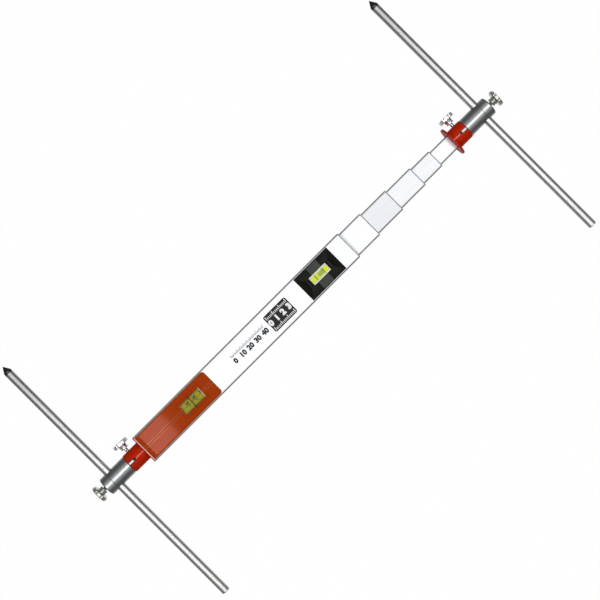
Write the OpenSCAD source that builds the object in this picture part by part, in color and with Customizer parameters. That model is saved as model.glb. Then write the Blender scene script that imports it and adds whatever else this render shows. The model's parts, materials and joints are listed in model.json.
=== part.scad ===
// Telescopic tram gauge with two sliding pointer rods.
// X runs along the gauge towards the telescoping tip, Y across it towards the
// pointer tips, and Z out of the front face with the reading window.
// The origin lies halfway between the two pointer rods, on the gauge's axis.

/* [Telescope] */
// Width of the outer tube across the gauge
outer_w = 37; // [34:0.5:44]
// Depth over both walls of the chamber that holds the sliding sections
chamber_d = 24.5; // [24:0.5:30]
// Clear depth of the shallow front chamber above the dividing web
front_room = 4.3; // [3.6:0.1:7]
// Wall of every tube, and of the web
tube_wall = 1.2; // [0.9:0.1:1.3]
// Gap all round between one tube and the next
tube_gap = 0.55; // [0.45:0.05:0.65]
// Corner radius of the outer tube
outer_corner = 2; // [1.6:0.1:3]
// Corner radius of the sliding tubes
inner_corner = 1.6; // [1.4:0.1:2]
// Length of the outer tube with its mouth bush
outer_len = 324; // [300:1:400]
// Length of each sliding tube
inner_len = 212; // [180:1:216]
// How far the second section stands out of the outer tube
out_2 = 33.9; // [5:0.1:120]
// How far the third section stands out of the second
out_3 = 38.8; // [5:0.1:120]
// How far the fourth section stands out of the third
out_4 = 37.9; // [5:0.1:120]
// How far the fifth section stands out of the fourth
out_5 = 28.9; // [5:0.1:120]
// How far the sixth section stands out of the fifth
out_6 = 26.5; // [5:0.1:120]
// Thickness of a mouth bush's lip over the end of its tube
lip_t = 1; // [0.6:0.1:1.6]
// How far the lip's edge stays inside the outside of its tube
lip_inset = 0.2; // [0.1:0.05:0.4]
// How deep a mouth bush reaches into its tube
bush_len = 10; // [6:0.5:16]
// Length of a tail shoe on the outside of its tube
shoe_len = 10; // [6:0.5:16]
// Thickness of the tail shoe's end wall
shoe_end = 1.5; // [1:0.1:2]
// Sliding clearance of bushes and shoes
slide_gap = 0.15; // [0.1:0.05:0.2]

/* [Sockets] */
// Diameter of both red collars
collar_d = 24; // [22:0.5:28]
// Length of the collar on the fixed end
left_collar = 24; // [20:0.5:32]
// Length of the collar on the telescoping end
right_collar = 19.8; // [18:0.2:28]
// Diameter of the round flange on the telescoping end
flange_d = 37; // [32:0.5:44]
// Thickness of that flange
flange_t = 2.5; // [2:0.1:4]
// Thickness of the end plate on the fixed end
plate_t = 3; // [2.5:0.1:5]
// Diameter of the spigot that plugs into a collar
spigot_d = 16; // [14:0.5:17]
// Length of the spigot
spigot_len = 16; // [13:0.5:16.5]
// Depth of the hole in a collar beyond the spigot's end
socket_spare = 1; // [0.5:0.1:1.5]
// Radial running clearance of spigots, rods, screws and the drum
fit_gap = 0.05; // [0.03:0.01:0.08]
// Radial clearance round pressed and screwed pieces
press_gap = 0.01; // [0.01:0.005:0.02]
// Diameter of the pin that locates the spigot
pin_d = 3; // [2:0.5:4]
// Extra width of the collar's slot round that pin
slot_spare = 0.4; // [0.2:0.1:0.8]
// Distance of the pin and of the side screw from the collar's open end
pin_in = 8.5; // [7:0.5:10]
// Depth of the pin in the spigot
pin_sunk = 5; // [3:0.5:6]
// Diameter of the countersunk bolt that holds the flanged collar
bolt_d = 4; // [3:0.5:5]
// Head diameter of that bolt
bolt_head_d = 8; // [7:0.5:9]
// Length of that bolt
bolt_len = 14; // [12:0.5:16]
// Length of the plug inside the end of the last tube
plug_len = 15; // [12:0.5:20]
// Thread diameter of the four screws in the end plate
plate_screw_d = 3; // [2.5:0.5:3]
// Head diameter of those screws
plate_head_d = 5.5; // [5:0.1:5.8]
// Length of those screws
plate_screw_len = 9; // [7:0.5:10]
// Distance of those screws from the edges of the plate
plate_screw_in = 4.7; // [4.3:0.1:4.9]
// Across-flats size of the hexagon socket in those screws
plate_hex = 2; // [1.5:0.1:2.2]
// Across-flats size of the hexagon socket in the bolt
bolt_hex = 2.5; // [2:0.1:3]

/* [Pointer heads] */
// Diameter of the turned head
head_d = 23; // [21:0.5:26]
// Distance from the pointer rod's axis to the head's inner end
head_in = 24.5; // [16:0.5:30]
// Distance from the rod's axis to the seam between head and cap
seam_out = 1.5; // [0:0.5:3]
// Length of the head's cap
cap_len = 11.5; // [10:0.5:16]
// Rounding of the cap's outer edge
cap_edge = 1.6; // [0.8:0.1:1.6]
// Distance of the two cap screws from the head's axis
cap_screw_at = 7.4; // [7.3:0.1:7.5]
// Thread diameter of the cap screws
cap_screw_d = 2.5; // [2:0.5:2.5]
// Head diameter of the cap screws
cap_head_d = 4.4; // [4:0.1:4.6]
// Head height of the cap screws
cap_head_h = 2.5; // [2:0.1:3]
// Length of the cap screws below the head
cap_screw_len = 15; // [12:0.5:18]
// Across-flats size of the hexagon socket in a cap screw
cap_hex = 2; // [1.5:0.1:2.2]

/* [Pointer rods] */
// Diameter of the pointer rods
rod_d = 10; // [8:0.5:10.5]
// Length of a pointer rod with its tip
rod_len = 360; // [200:5:500]
// Height of the hardened cone
tip_cone = 7.6; // [6:0.2:12]
// Length of the dark band below the cone
tip_band = 3; // [2:0.5:6]
// Diameter of the flat at the cone's point
tip_flat = 0.5; // [0.3:0.1:1]
// Diameter of the stud that holds the tip
stud_d = 6; // [4:0.5:6]
// Length of the stud
stud_len = 10; // [6:0.5:16]
// Chamfer on the plain end of the rod
rod_chamfer = 0.6; // [0.3:0.1:1.2]

/* [Thumb screws] */
// Thread diameter of the thumb screws
screw_d = 5; // [4:0.5:5]
// Diameter of the hub below the knurled disc
hub_d = 10; // [8:0.5:12]
// Length of the hub
hub_len = 5.2; // [4:0.2:8]
// Diameter of the knurled disc
disc_d = 20; // [16:0.5:24]
// Thickness of the knurled disc
disc_t = 4.8; // [4:0.2:7]
// Number of flutes round the disc
flutes = 16; // [12:1:20]
// Radius of the cutter that makes a flute
flute_r = 1.2; // [0.8:0.1:1.3]
// Depth of a flute
flute_deep = 0.6; // [0.4:0.1:0.8]
// Chamfer on the rims of disc and hub
knob_chamfer = 0.7; // [0.4:0.1:1]
// Bare thread between the cap and the hub of an end screw
end_neck = 3.2; // [2.5:0.1:8]
// Bare thread between the collar and the hub of a side screw
side_neck = 4; // [2.5:0.1:8]
// Thickness of the brass pad at the end of a thumb screw
pad_t = 1.5; // [1:0.1:2]
// How far a pad lies off what it presses on, as drawn
pad_gap = 0.05; // [0.03:0.01:0.08]

/* [Tape housing] */
// Length of the red cover, from the end of the outer tube
cover_len = 107; // [100:0.5:116]
// Rim of the tube's front face left on each side of the red cover
cover_rim = 1.9; // [1.8:0.1:3.5]
// Thickness of the red cover
cover_t = 2; // [1.6:0.1:2.2]
// How far the cover stands proud of the tube's front face
cover_proud = 0.6; // [0.3:0.1:0.9]
// Corner radius of the cover at its free end
cover_corner = 2; // [1:0.1:4]
// Bevel along the cover's top edges
cover_bevel = 0.5; // [0.3:0.1:0.8]
// Distance from the end of the tube to the window
window_at = 60; // [56:0.5:62]
// Length of the window along the gauge
window_len = 30; // [24:0.5:31]
// Width of the window across the gauge
window_w = 14; // [13.5:0.1:18]
// Width of the sloping edge round the window
window_bevel = 2.2; // [0.5:0.1:2.4]
// Thickness of the clear lens
lens_t = 1.1; // [0.6:0.1:1.2]
// Distance of the index line from the window's left edge
index_at = 14.5; // [10:0.5:20]
// Width of the index line
index_w = 0.3; // [0.2:0.05:0.5]
// Depth of the index line below the lens
index_t = 0.1; // [0.06:0.02:0.14]
// Thickness of the housing's floor, cheeks and end wall
housing_wall = 1.8; // [1.6:0.1:2]
// Thickness of the block that takes the plate's screws
block_t = 12; // [10.5:0.5:14]
// Gap between the drum and the housing
drum_gap = 0.5; // [0.4:0.05:0.6]
// Distance of the drum's axle from the end of the tube
drum_at = 26; // [25.5:0.5:30]
// Diameter of the axle
axle_d = 3; // [2.5:0.5:4]
// Diameter of the drum's hub
drum_hub_d = 16; // [14:0.5:17]
// Wall of the drum
drum_wall = 1; // [0.8:0.1:1.2]
// Diameter of the drum's flanges
drum_d = 23.8; // [22:0.1:23.9]
// Width of the steel tape
tape_w = 13; // [10:0.5:13.2]
// Thickness of the steel tape
tape_t = 0.2; // [0.12:0.01:0.22]
// Length of tape wound on the drum as stored
tape_wound = 820; // [600:10:1000]
// Diameter of the guide pins
guide_d = 4; // [3:0.5:4.5]
// Depth of the tape's face below the lens
tape_below = 0.5; // [0.3:0.05:0.8]
// Gap between the mainspring and the drum
spring_gap = 0.4; // [0.3:0.05:0.6]

/* [Vial tray] */
// Distance from the tube's mouth to the tray
tray_at = 20.2; // [12:0.5:40]
// Length of the tray along the gauge
tray_len = 52; // [46:0.5:60]
// Rim of the tube's front face left on each side of the tray
tray_rim = 2.2; // [2:0.1:4.5]
// Thickness of the tray's floor and of its rim
tray_wall = 0.9; // [0.6:0.1:1.1]
// Length of the flat bottom of the tray
tray_flat_len = 35; // [33:0.5:36]
// Width of the flat bottom of the tray
tray_flat_w = 11.4; // [10.8:0.2:14]
// Length of the vial block
vial_len = 25.4; // [22:0.2:27]
// Width of the vial block
vial_w = 10.4; // [8:0.2:10.6]
// How far the vial block stands proud of the tube's front face
vial_proud = 0.3; // [0:0.05:0.4]
// Width of the liquid in the vial
fluid_w = 6.8; // [5:0.1:7.2]
// Wall of the vial block at its ends and above and below the liquid
vial_wall = 0.7; // [0.5:0.05:0.9]
// Length of the bubble
bubble_len = 8.5; // [6:0.1:9]
// Width of the bubble
bubble_w = 4.6; // [3:0.1:5]
// Depth of the bubble
bubble_t = 1.2; // [0.8:0.1:1.5]
// How far the bubble lies off the middle of the vial
bubble_off = 1.8; // [-2.5:0.1:2.5]
// Distance between the two marks on the vial
mark_gap = 11.8; // [10:0.1:14]
// Width of a mark
mark_w = 0.5; // [0.3:0.05:0.8]
// Thickness of a mark
mark_t = 0.1; // [0.05:0.01:0.15]
// Length of the cradle that carries the vial, along the gauge
cradle_len = 15.5; // [12:0.5:17]
// Depth of the cradle's top below the tube's front face
cradle_low = 0.4; // [0.2:0.1:1]
// Thickness of each end post
post_t = 3.2; // [2:0.1:3.4]
// Width of each end post
post_w = 8.9; // [6:0.1:10]
// Gap between the vial block and an end post
post_gap = 2; // [0.5:0.1:2.2]
// Height of each end post
post_h = 3; // [2:0.1:3.2]

/* [Hidden] */
$fn = 72;

// A cut reaches this far past the surface that it opens
past = 1;
// A cut that must end at a surface reaches this far past it
hair = 0.01;
// Least corner radius inside a tube
least_corner = 0.3;

// Sections are numbered 1 for the outer tube to 6 for the last
step = 2 * (tube_wall + tube_gap);
function section_w(k) = outer_w - (k - 1) * step;
function section_d(k) = chamber_d - (k - 1) * step;
function section_r(k) = k == 1 ? outer_corner : inner_corner;
front_z = chamber_d / 2 + front_room + tube_wall;
back_z = -chamber_d / 2;
web_z = chamber_d / 2;

// Places along the gauge, from the left rod to the right one
outs = [out_2, out_3, out_4, out_5, out_6];
function out_sum(k) = k < 0 ? 0 : outs[k] + out_sum(k - 1);
left_part = head_in + left_collar + plate_t;
right_part = flange_t + right_collar + head_in;
span = left_part + outer_len + out_sum(4) + right_part;
left_rod_x = -span / 2;
right_rod_x = span / 2;
tube_x = left_rod_x + left_part;
function mouth_x(k) = tube_x + outer_len + out_sum(k - 2);
function tail_x(k) = mouth_x(k) - (k == 6 ? 0 : lip_t) - inner_len;
flange_x = mouth_x(6);
head_out = seam_out + cap_len;

// Depth of a screw hole beyond the screw's end
screw_spare = 0.5;

// Bores and radial places in the heads and collars
bore_r = spigot_d / 2 + fit_gap;
rod_bore_r = rod_d / 2 + fit_gap;
thread_r = screw_d / 2;
pad_r = thread_r - 2 * fit_gap;
side_pad_at = spigot_d / 2 + pad_gap;
end_pad_at = rod_d / 2 + pad_gap;
socket_deep = spigot_len + socket_spare;
slot_r = (pin_d + slot_spare) / 2;

// Chamfer on a collar's open end, and on a spigot's end
collar_rim = 0.6;
spigot_rim = 0.5;
// How far the locating pin's end stays below the collar's surface
pin_low = 0.6;
// How far a cap screw's head stays below the cap's face, and the floor of its hexagon
cap_head_low = 0.3;
cap_hex_floor = 0.9;

// Width of the red cover, and heights in the tape housing
cover_w = outer_w - 2 * cover_rim;
cover_top = front_z + cover_proud;
cover_under = cover_top - cover_t;
index_x = tube_x + window_at + index_at;
window_x = tube_x + window_at;
chamber_low = back_z + tube_wall;
housing_low = chamber_low + press_gap;
housing_top = cover_under - press_gap;
cavity_low = housing_low + housing_wall;
drum_z = (cavity_low + housing_top) / 2;
drum_x = tube_x + drum_at;
// Distance of a guide pin's surface from the window and from the end wall
guide_clear = 1;
// Room round the tape where it leaves the housing
tape_room = 1;
flange_y = tape_w / 2 + 2 * slide_gap + drum_wall;
cheek_y = flange_y + drum_gap;
pin_y = cheek_y + housing_wall;
coil_r = sqrt(pow(drum_hub_d / 2, 2) + tape_wound * tape_t / PI);
tape_z = cover_under - tape_below;
guide_r = guide_d / 2;
housing_end = tube_x + cover_len;
guide_a = [window_x - guide_r - guide_clear, tape_z - tape_t / 2 - guide_r];
guide_b = [window_x + window_len + guide_r + guide_clear, guide_a[1]];
guide_c = [housing_end - housing_wall - guide_r - guide_clear, tape_t / 2 + guide_r];

// Width of the vial tray, and places in it
tray_w = outer_w - 2 * tray_rim;
tray_x0 = mouth_x(1) - tray_at - tray_len;
tray_mid = tray_x0 + tray_len / 2;
tray_low = web_z + press_gap;
tray_floor = tray_low + tray_wall;
vial_top = front_z + vial_proud;
fluid_low = tray_floor + vial_wall;
fluid_top = vial_top - vial_wall;

// A rectangle with round corners across the gauge: width along Y, z0 to z1 along Z
module round_rect(w, z0, z1, r) {
  h = z1 - z0;
  translate([-w / 2 + r, z0]) square([w - 2 * r, h]);
  translate([-w / 2, z0 + r]) square([w, h - 2 * r]);
  for (y = [-1, 1], z = [z0 + r, z1 - r])
    translate([y * (w / 2 - r), z]) circle(r);
}

// A bar along the gauge with that outline
module bar(x0, len, w, z0, z1, r) {
  translate([x0, 0, 0]) rotate([90, 0, 90])
    linear_extrude(len) round_rect(w, z0, z1, r);
}

// A plain block from one corner to the other, centred on the gauge in Y
module block(x0, x1, w, z0, z1) {
  translate([x0, -w / 2, z0]) cube([x1 - x0, w, z1 - z0]);
}

// A round bar along X, Y or Z from a point
module along_x(x0, len, r, y = 0, z = 0) {
  translate([x0, y, z]) rotate([0, 90, 0]) cylinder(h = len, r = r);
}
module across(x, z, half, r) {
  translate([x, half, z]) rotate([90, 0, 0]) cylinder(h = 2 * half, r = r);
}

// A countersunk screw along X with its head at x = 0 and its thread towards +X
module countersunk(d, head_d, len, grow) {
  sink = (head_d - d) / 2;
  rotate([0, 90, 0]) cylinder(h = sink, r1 = head_d / 2 + grow, r2 = d / 2 + grow);
  along_x(0, len + grow, d / 2 + grow);
}

// The hexagon socket in a screw's head at x = 0
module hexagon(flats, deep) {
  translate([-hair, 0, 0]) rotate([0, 90, 0]) cylinder(h = deep + hair, r = flats / sqrt(3), $fn = 6);
}

// The outside of section k, or its hollow drawn in by a gap
module section_solid(k, x0, len, grow = 0) {
  w = section_w(k) + 2 * grow;
  d = section_d(k) + 2 * grow;
  bar(x0, len, w, -d / 2, d / 2, max(least_corner, section_r(k) + grow));
}

// A wedge-sided pit: full size at the top, smaller at the floor
module pit(x0, x1, w, z_top, x_in, w_in, z_low) {
  mid = (x0 + x1) / 2;
  intersection() {
    translate([0, w, 0]) rotate([90, 0, 0]) linear_extrude(2 * w)
      polygon([[x0, z_top], [x1, z_top], [mid + x_in / 2, z_low], [mid - x_in / 2, z_low]]);
    translate([x0 - past, 0, 0]) rotate([90, 0, 90]) linear_extrude(x1 - x0 + 2 * past)
      polygon([[-w / 2, z_top], [w / 2, z_top], [w_in / 2, z_low], [-w_in / 2, z_low]]);
  }
}

// Puts a head piece, drawn with its rod at x = 0 and its cap towards +X, at one end
module at_end(side) {
  if (side > 0)
    translate([right_rod_x, 0, 0]) children();
  else
    translate([left_rod_x, 0, 0]) mirror([1, 0, 0]) children();
}

// The extruded outer tube: two chambers with a web between them, cut open at the
// front for the housing cover and for the vial tray
module outer_tube() {
  metal_len = outer_len - lip_t;
  color("white") difference() {
    bar(tube_x, metal_len, outer_w, back_z, front_z, outer_corner);
    bar(tube_x - past, metal_len + 2 * past, outer_w - 2 * tube_wall,
      chamber_low, web_z - tube_wall, max(least_corner, outer_corner - tube_wall));
    bar(tube_x - past, metal_len + 2 * past, outer_w - 2 * tube_wall,
      web_z, front_z - tube_wall, max(least_corner, outer_corner - tube_wall));
    block(tube_x - past, housing_end + press_gap, cover_w + 2 * press_gap,
      web_z - tube_wall - past, front_z + past);
    block(tray_x0 - press_gap, tray_x0 + tray_len + press_gap, tray_w + 2 * press_gap,
      web_z + tube_wall, front_z + past);
  }
}

// The red cover over the tape housing, with its bevelled reading window
module housing_cover() {
  color([0.58, 0.2, 0.04]) difference() {
    intersection() {
      translate([tube_x, 0, cover_under]) linear_extrude(cover_t) {
        translate([0, -cover_w / 2]) square([cover_len - cover_corner, cover_w]);
        translate([cover_len - cover_corner - past, cover_corner - cover_w / 2])
          square([cover_corner + past, cover_w - 2 * cover_corner]);
        for (side = [-1, 1])
          translate([cover_len - cover_corner, side * (cover_w / 2 - cover_corner)])
            circle(cover_corner);
      }
      translate([tube_x, 0, 0]) rotate([90, 0, 90]) linear_extrude(cover_len)
        polygon([[-cover_w / 2, cover_under], [cover_w / 2, cover_under],
          [cover_w / 2, cover_top - cover_bevel], [cover_w / 2 - cover_bevel, cover_top],
          [cover_bevel - cover_w / 2, cover_top],
          [-cover_w / 2, cover_top - cover_bevel]]);
    }
    block(window_x, window_x + window_len, window_w, cover_under - past, cover_top + past);
    pit(window_x - window_bevel, window_x + window_len + window_bevel,
      window_w + 2 * window_bevel, cover_top + hair, window_len, window_w,
      cover_under + lens_t);
  }
}

// The clear lens in the window
module window_lens() {
  color([0.9, 0.95, 0.95, 0.4])
    block(window_x, window_x + window_len, window_w, cover_under, cover_under + lens_t);
}

// The index line on the underside of the lens
module index_line() {
  color("darkred")
    block(index_x - index_w / 2, index_x + index_w / 2, window_w,
      cover_under - index_t, cover_under);
}

// The moulded housing in the end of the outer tube: block for the plate's screws,
// cheeks that hold the axle and the guide pins, floor and end wall
module tape_housing() {
  low_w = outer_w - 2 * tube_wall - 2 * press_gap;
  up_w = cover_w - 2 * press_gap;
  seam_z = web_z - tube_wall - press_gap;
  inside_x = tube_x + block_t;
  wall_x = housing_end - housing_wall;
  pocket_w = (up_w / 2 - housing_wall) - pin_y;
  color([0.16, 0.16, 0.17]) difference() {
    union() {
      bar(tube_x, cover_len, low_w, housing_low, seam_z,
        max(least_corner, outer_corner - tube_wall));
      block(tube_x, housing_end, up_w, housing_low + outer_corner, housing_top);
    }
    block(inside_x, wall_x, 2 * cheek_y, cavity_low, housing_top + past);
    for (side = [-1, 1])
      translate([inside_x, side > 0 ? pin_y : -pin_y - pocket_w, cavity_low])
        cube([wall_x - inside_x, pocket_w, housing_top + past - cavity_low]);
    block(wall_x - past, housing_end + past, tape_w + 2 * tape_room, -tape_room, tape_room);
    across(drum_x, drum_z, pin_y, axle_d / 2 + press_gap);
    for (g = [guide_a, guide_b, guide_c])
      across(g[0], g[1], pin_y, guide_r + press_gap);
    for (y = [-1, 1], z = [back_z + plate_screw_in, front_z - plate_screw_in])
      along_x(tube_x - past, plate_screw_len - plate_t + past + screw_spare,
        plate_screw_d / 2 + press_gap, y * (outer_w / 2 - plate_screw_in), z);
  }
}

// The collar that a head plugs into, drawn from its open end at x = 0 towards +X
// with its hole, the slot for the locating pin and the threaded hole for the side screw
module collar(len) {
  rim = collar_rim;
  difference() {
    union() {
      along_x(rim, len - rim, collar_d / 2);
      rotate([0, 90, 0]) cylinder(h = rim, r1 = collar_d / 2 - rim, r2 = collar_d / 2);
    }
    along_x(-past, socket_deep + past, bore_r);
    translate([-past, -slot_r, 0]) cube([pin_in + past, 2 * slot_r, collar_d]);
    translate([pin_in, 0, 0]) cylinder(h = collar_d, r = slot_r);
    translate([pin_in, 0, 0]) rotate([-90, 0, 0]) cylinder(h = collar_d, r = thread_r);
  }
}

// The red socket on the fixed end: square plate with its collar
module left_socket() {
  junction = left_rod_x + head_in;
  color([0.7, 0.12, 0]) difference() {
    union() {
      translate([junction, 0, 0]) collar(left_collar + plate_t);
      bar(junction + left_collar, plate_t, outer_w, back_z, front_z, outer_corner);
    }
    at_plate_screws() countersunk(plate_screw_d, plate_head_d, plate_screw_len, press_gap);
  }
}

module at_plate_screws() {
  for (y = [-1, 1], z = [back_z + plate_screw_in, front_z - plate_screw_in])
    translate([tube_x - plate_t, y * (outer_w / 2 - plate_screw_in), z]) children();
}

// The four countersunk screws that hold the end plate to the housing
module end_plate_screws() {
  color("silver") at_plate_screws() difference() {
    countersunk(plate_screw_d, plate_head_d, plate_screw_len, 0);
    hexagon(plate_hex, (plate_head_d - plate_screw_d) / 2);
  }
}

// The steel axle of the tape drum
module drum_axle() {
  color("silver") across(drum_x, drum_z, pin_y, axle_d / 2);
}

// The three polished pins that lead the tape under the window and down to the axis
module tape_guide_pins() {
  color("silver") for (g = [guide_a, guide_b, guide_c])
    across(g[0], g[1], pin_y, guide_r);
}

// The coiled mainspring inside the drum, as one ring
module mainspring() {
  half = tape_w / 2 - drum_wall;
  color("steelblue") difference() {
    across(drum_x, drum_z, half, drum_hub_d / 2 - drum_wall - spring_gap);
    across(drum_x, drum_z, half + past, axle_d / 2 + press_gap);
  }
}

// The drum: hub, two flanges and two bearing discs that close the spring in
module tape_drum() {
  inner_r = drum_hub_d / 2 - drum_wall;
  hub_half = flange_y;
  color([0.1, 0.1, 0.1]) difference() {
    union() {
      across(drum_x, drum_z, hub_half, drum_hub_d / 2);
      for (side = [-1, 1])
        translate([drum_x, side * (flange_y - drum_wall / 2), drum_z]) rotate([90, 0, 0])
          cylinder(h = drum_wall, r = drum_d / 2, center = true);
    }
    across(drum_x, drum_z, hub_half - drum_wall, inner_r);
    across(drum_x, drum_z, hub_half + past, axle_d / 2 + fit_gap);
  }
}

// The tape wound on the drum, as one ring
module tape_coil() {
  color([0.75, 0.72, 0.25]) difference() {
    across(drum_x, drum_z, tape_w / 2, coil_r);
    across(drum_x, drum_z, tape_w / 2 + past, drum_hub_d / 2);
  }
}

// Points on an arc, from angle a0 to a1 in n steps
function arc(c, r, a0, a1, n) =
  [for (i = [0:n]) c + r * [cos(a0 + (a1 - a0) * i / n), sin(a0 + (a1 - a0) * i / n)]];

// The angle of the tape's way down from guide pin b to guide pin c
mid_r = guide_r + tape_t / 2;
drop = guide_b - guide_c;
drop_len = norm(drop);
drop_turn = atan2(drop[1], -drop[0]) + asin(2 * mid_r / drop_len);

// Length of the anchor that holds the tape's end
anchor_len = 8;

// The middle line of the tape, from the coil to the tail of the last section
tape_line = concat(
  [[drum_x, drum_z + coil_r + tape_t]],
  [guide_a + [0, mid_r]],
  arc(guide_b, mid_r, 90, 90 - drop_turn, 6),
  arc(guide_c, mid_r, 270 - drop_turn, 270, 6),
  [[tail_x(6) + anchor_len, 0]]
);
// The outline of a strip of thickness t along a line
function unit(v) = v / norm(v);
function turn(v) = [-v[1], v[0]];
function way(p, i) = unit(p[min(i + 1, len(p) - 1)] - p[max(i - 1, 0)]);
function strip(p, t) = concat(
  [for (i = [0:len(p) - 1]) p[i] + turn(way(p, i)) * t / 2],
  [for (i = [len(p) - 1:-1:0]) p[i] - turn(way(p, i)) * t / 2]
);

// The free stretch of the steel tape: under the window and down the telescope
module steel_tape() {
  color([0.75, 0.72, 0.25]) translate([0, tape_w / 2, 0]) rotate([90, 0, 0])
    linear_extrude(tape_w) polygon(strip(tape_line, tape_t - 2 * press_gap));
}

// The mouth bush of section k: a lip over the tube's end and a sleeve in its mouth
module mouth_bush(k) {
  x = mouth_x(k);
  color([0.62, 0.62, 0.62]) difference() {
    union() {
      if (k == 1)
        bar(x - lip_t, lip_t, outer_w - 2 * lip_inset, back_z + lip_inset,
          front_z - lip_inset, outer_corner);
      else
        section_solid(k, x - lip_t, lip_t, -lip_inset);
      section_solid(k, x - lip_t - bush_len, bush_len, -tube_wall);
      if (k == 1)
        block(x - lip_t - bush_len / 2, x - lip_t, outer_w - 2 * outer_corner,
          web_z, front_z - tube_wall);
    }
    section_solid(k + 1, x - lip_t - bush_len - past, bush_len + lip_t + 2 * past,
      slide_gap);
  }
}

// A plain drawn tube of the telescope
module sliding_tube(k) {
  color(k == 3 ? [0.93, 0.94, 0.95] : [0.98, 0.98, 1]) difference() {
    section_solid(k, tail_x(k), inner_len);
    section_solid(k, tail_x(k) - past, inner_len + 2 * past, -tube_wall);
  }
}

// The tail shoe of section k: a sleeve round its inner end that runs in the next tube
module tail_shoe(k) {
  color([0.2, 0.2, 0.2]) difference() {
    section_solid(k, tail_x(k) - shoe_end, shoe_len + shoe_end, tube_gap - slide_gap);
    section_solid(k, tail_x(k), shoe_len + past);
    section_solid(k, tail_x(k) - shoe_end - past, shoe_end + 2 * past, -tube_wall);
  }
}

// The red socket on the telescoping end: round flange with its collar
module right_socket() {
  full = flange_t + right_collar;
  color([0.7, 0.12, 0]) difference() {
    union() {
      translate([flange_x + full, 0, 0]) mirror([1, 0, 0]) collar(full);
      along_x(flange_x, flange_t, flange_d / 2);
    }
    at_bolt() countersunk(bolt_d, bolt_head_d, bolt_len, press_gap);
  }
}

// The floor of the right socket, where its bolt's head sits
module at_bolt() {
  translate([flange_x + flange_t + right_collar - socket_deep, 0, 0])
    mirror([1, 0, 0]) children();
}

// The aluminium plug in the end of the last tube
module tip_plug() {
  color("silver") difference() {
    section_solid(6, flange_x - plug_len, plug_len, -tube_wall);
    at_bolt() along_x(0, bolt_len + past, bolt_d / 2 + press_gap);
  }
}

// The countersunk bolt that draws the flanged collar onto the plug
module socket_bolt() {
  color("dimgray") at_bolt() difference() {
    countersunk(bolt_d, bolt_head_d, bolt_len, 0);
    hexagon(bolt_hex, (bolt_head_d - bolt_d) / 2);
  }
}

// The anchor that holds the tape's end in the tail of the last tube
module tape_anchor() {
  inside_w = section_w(6) - 2 * tube_wall;
  inside_low = -section_d(6) / 2 + tube_wall;
  color("silver")
    block(tail_x(6), tail_x(6) + anchor_len, inside_w - 2 * inner_corner, inside_low,
      -tape_t / 2);
}

// The turned aluminium head: body, spigot and cross bore for the rod
module head(side) {
  color([0.45, 0.46, 0.47]) at_end(side) difference() {
    union() {
      along_x(-head_in, head_in + seam_out, head_d / 2);
      along_x(-head_in - spigot_len + spigot_rim, spigot_len, spigot_d / 2);
      translate([-head_in - spigot_len, 0, 0]) rotate([0, 90, 0])
        cylinder(h = spigot_rim, r1 = spigot_d / 2 - spigot_rim, r2 = spigot_d / 2);
    }
    across(0, 0, head_d, rod_bore_r);
    translate([-head_in - pin_in, 0, spigot_d / 2 - pin_sunk])
      cylinder(h = pin_sunk + past, r = pin_d / 2 + press_gap);
    for (z = [-1, 1])
      along_x(seam_out - cap_screw_len + cap_len - cap_head_h - past,
        cap_screw_len + past, cap_screw_d / 2 + press_gap, 0, z * cap_screw_at);
  }
}

// The cap that closes the cross bore and carries the end screw
module head_cap(side) {
  color([0.45, 0.46, 0.47]) at_end(side) difference() {
    translate([seam_out, 0, 0]) rotate([0, 90, 0]) rotate_extrude() {
      square([head_d / 2 - cap_edge, cap_len]);
      square([head_d / 2, cap_len - cap_edge]);
      translate([head_d / 2 - cap_edge, cap_len - cap_edge])
        intersection() {
          circle(cap_edge);
          square(cap_edge);
        }
    }
    across(0, 0, head_d, rod_bore_r);
    along_x(0, head_out + past, thread_r);
    for (z = [-1, 1]) {
      along_x(0, head_out + past, cap_screw_d / 2 + press_gap, 0, z * cap_screw_at);
      along_x(head_out - cap_head_h, cap_head_h + past, cap_head_d / 2 + press_gap, 0,
        z * cap_screw_at);
    }
  }
}

// The steel pin that keeps the head from turning in its collar
module locating_pin(side) {
  color([0.3, 0.3, 0.3]) at_end(side)
    translate([-head_in - pin_in, 0, spigot_d / 2 - pin_sunk])
      cylinder(h = pin_sunk + (collar_d - spigot_d) / 2 - pin_low, r = pin_d / 2);
}

// The two socket screws that hold the cap
module cap_screws(side) {
  color([0.15, 0.15, 0.15]) at_end(side) for (z = [-1, 1])
    translate([head_out - cap_head_h, 0, z * cap_screw_at]) difference() {
      union() {
        along_x(-cap_screw_len, cap_screw_len, cap_screw_d / 2);
        along_x(0, cap_head_h - cap_head_low, cap_head_d / 2);
      }
      translate([cap_hex_floor, 0, 0]) hexagon(cap_hex, cap_head_h);
    }
}

// The round pointer rod, with its tip towards +Y
module rod(side) {
  steel = rod_len - tip_cone - tip_band;
  color([0.6, 0.6, 0.58]) at_end(side) translate([0, -rod_len / 2, 0])
    rotate([-90, 0, 0]) difference() {
      union() {
        cylinder(h = rod_chamfer, r1 = rod_d / 2 - rod_chamfer, r2 = rod_d / 2);
        translate([0, 0, rod_chamfer]) cylinder(h = steel - rod_chamfer, r = rod_d / 2);
      }
      translate([0, 0, steel - stud_len])
        cylinder(h = stud_len + past, r = stud_d / 2 + press_gap);
    }
}

// The hardened tip: cone, dark band and the stud that screws into the rod
module tip(side) {
  color([0.12, 0.12, 0.12]) at_end(side) translate([0, rod_len / 2, 0])
    rotate([90, 0, 0]) {
      cylinder(h = tip_cone, r1 = tip_flat / 2, r2 = rod_d / 2);
      translate([0, 0, tip_cone]) cylinder(h = tip_band, r = rod_d / 2);
      translate([0, 0, tip_cone]) cylinder(h = tip_band + stud_len, r = stud_d / 2);
    }
}

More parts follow.
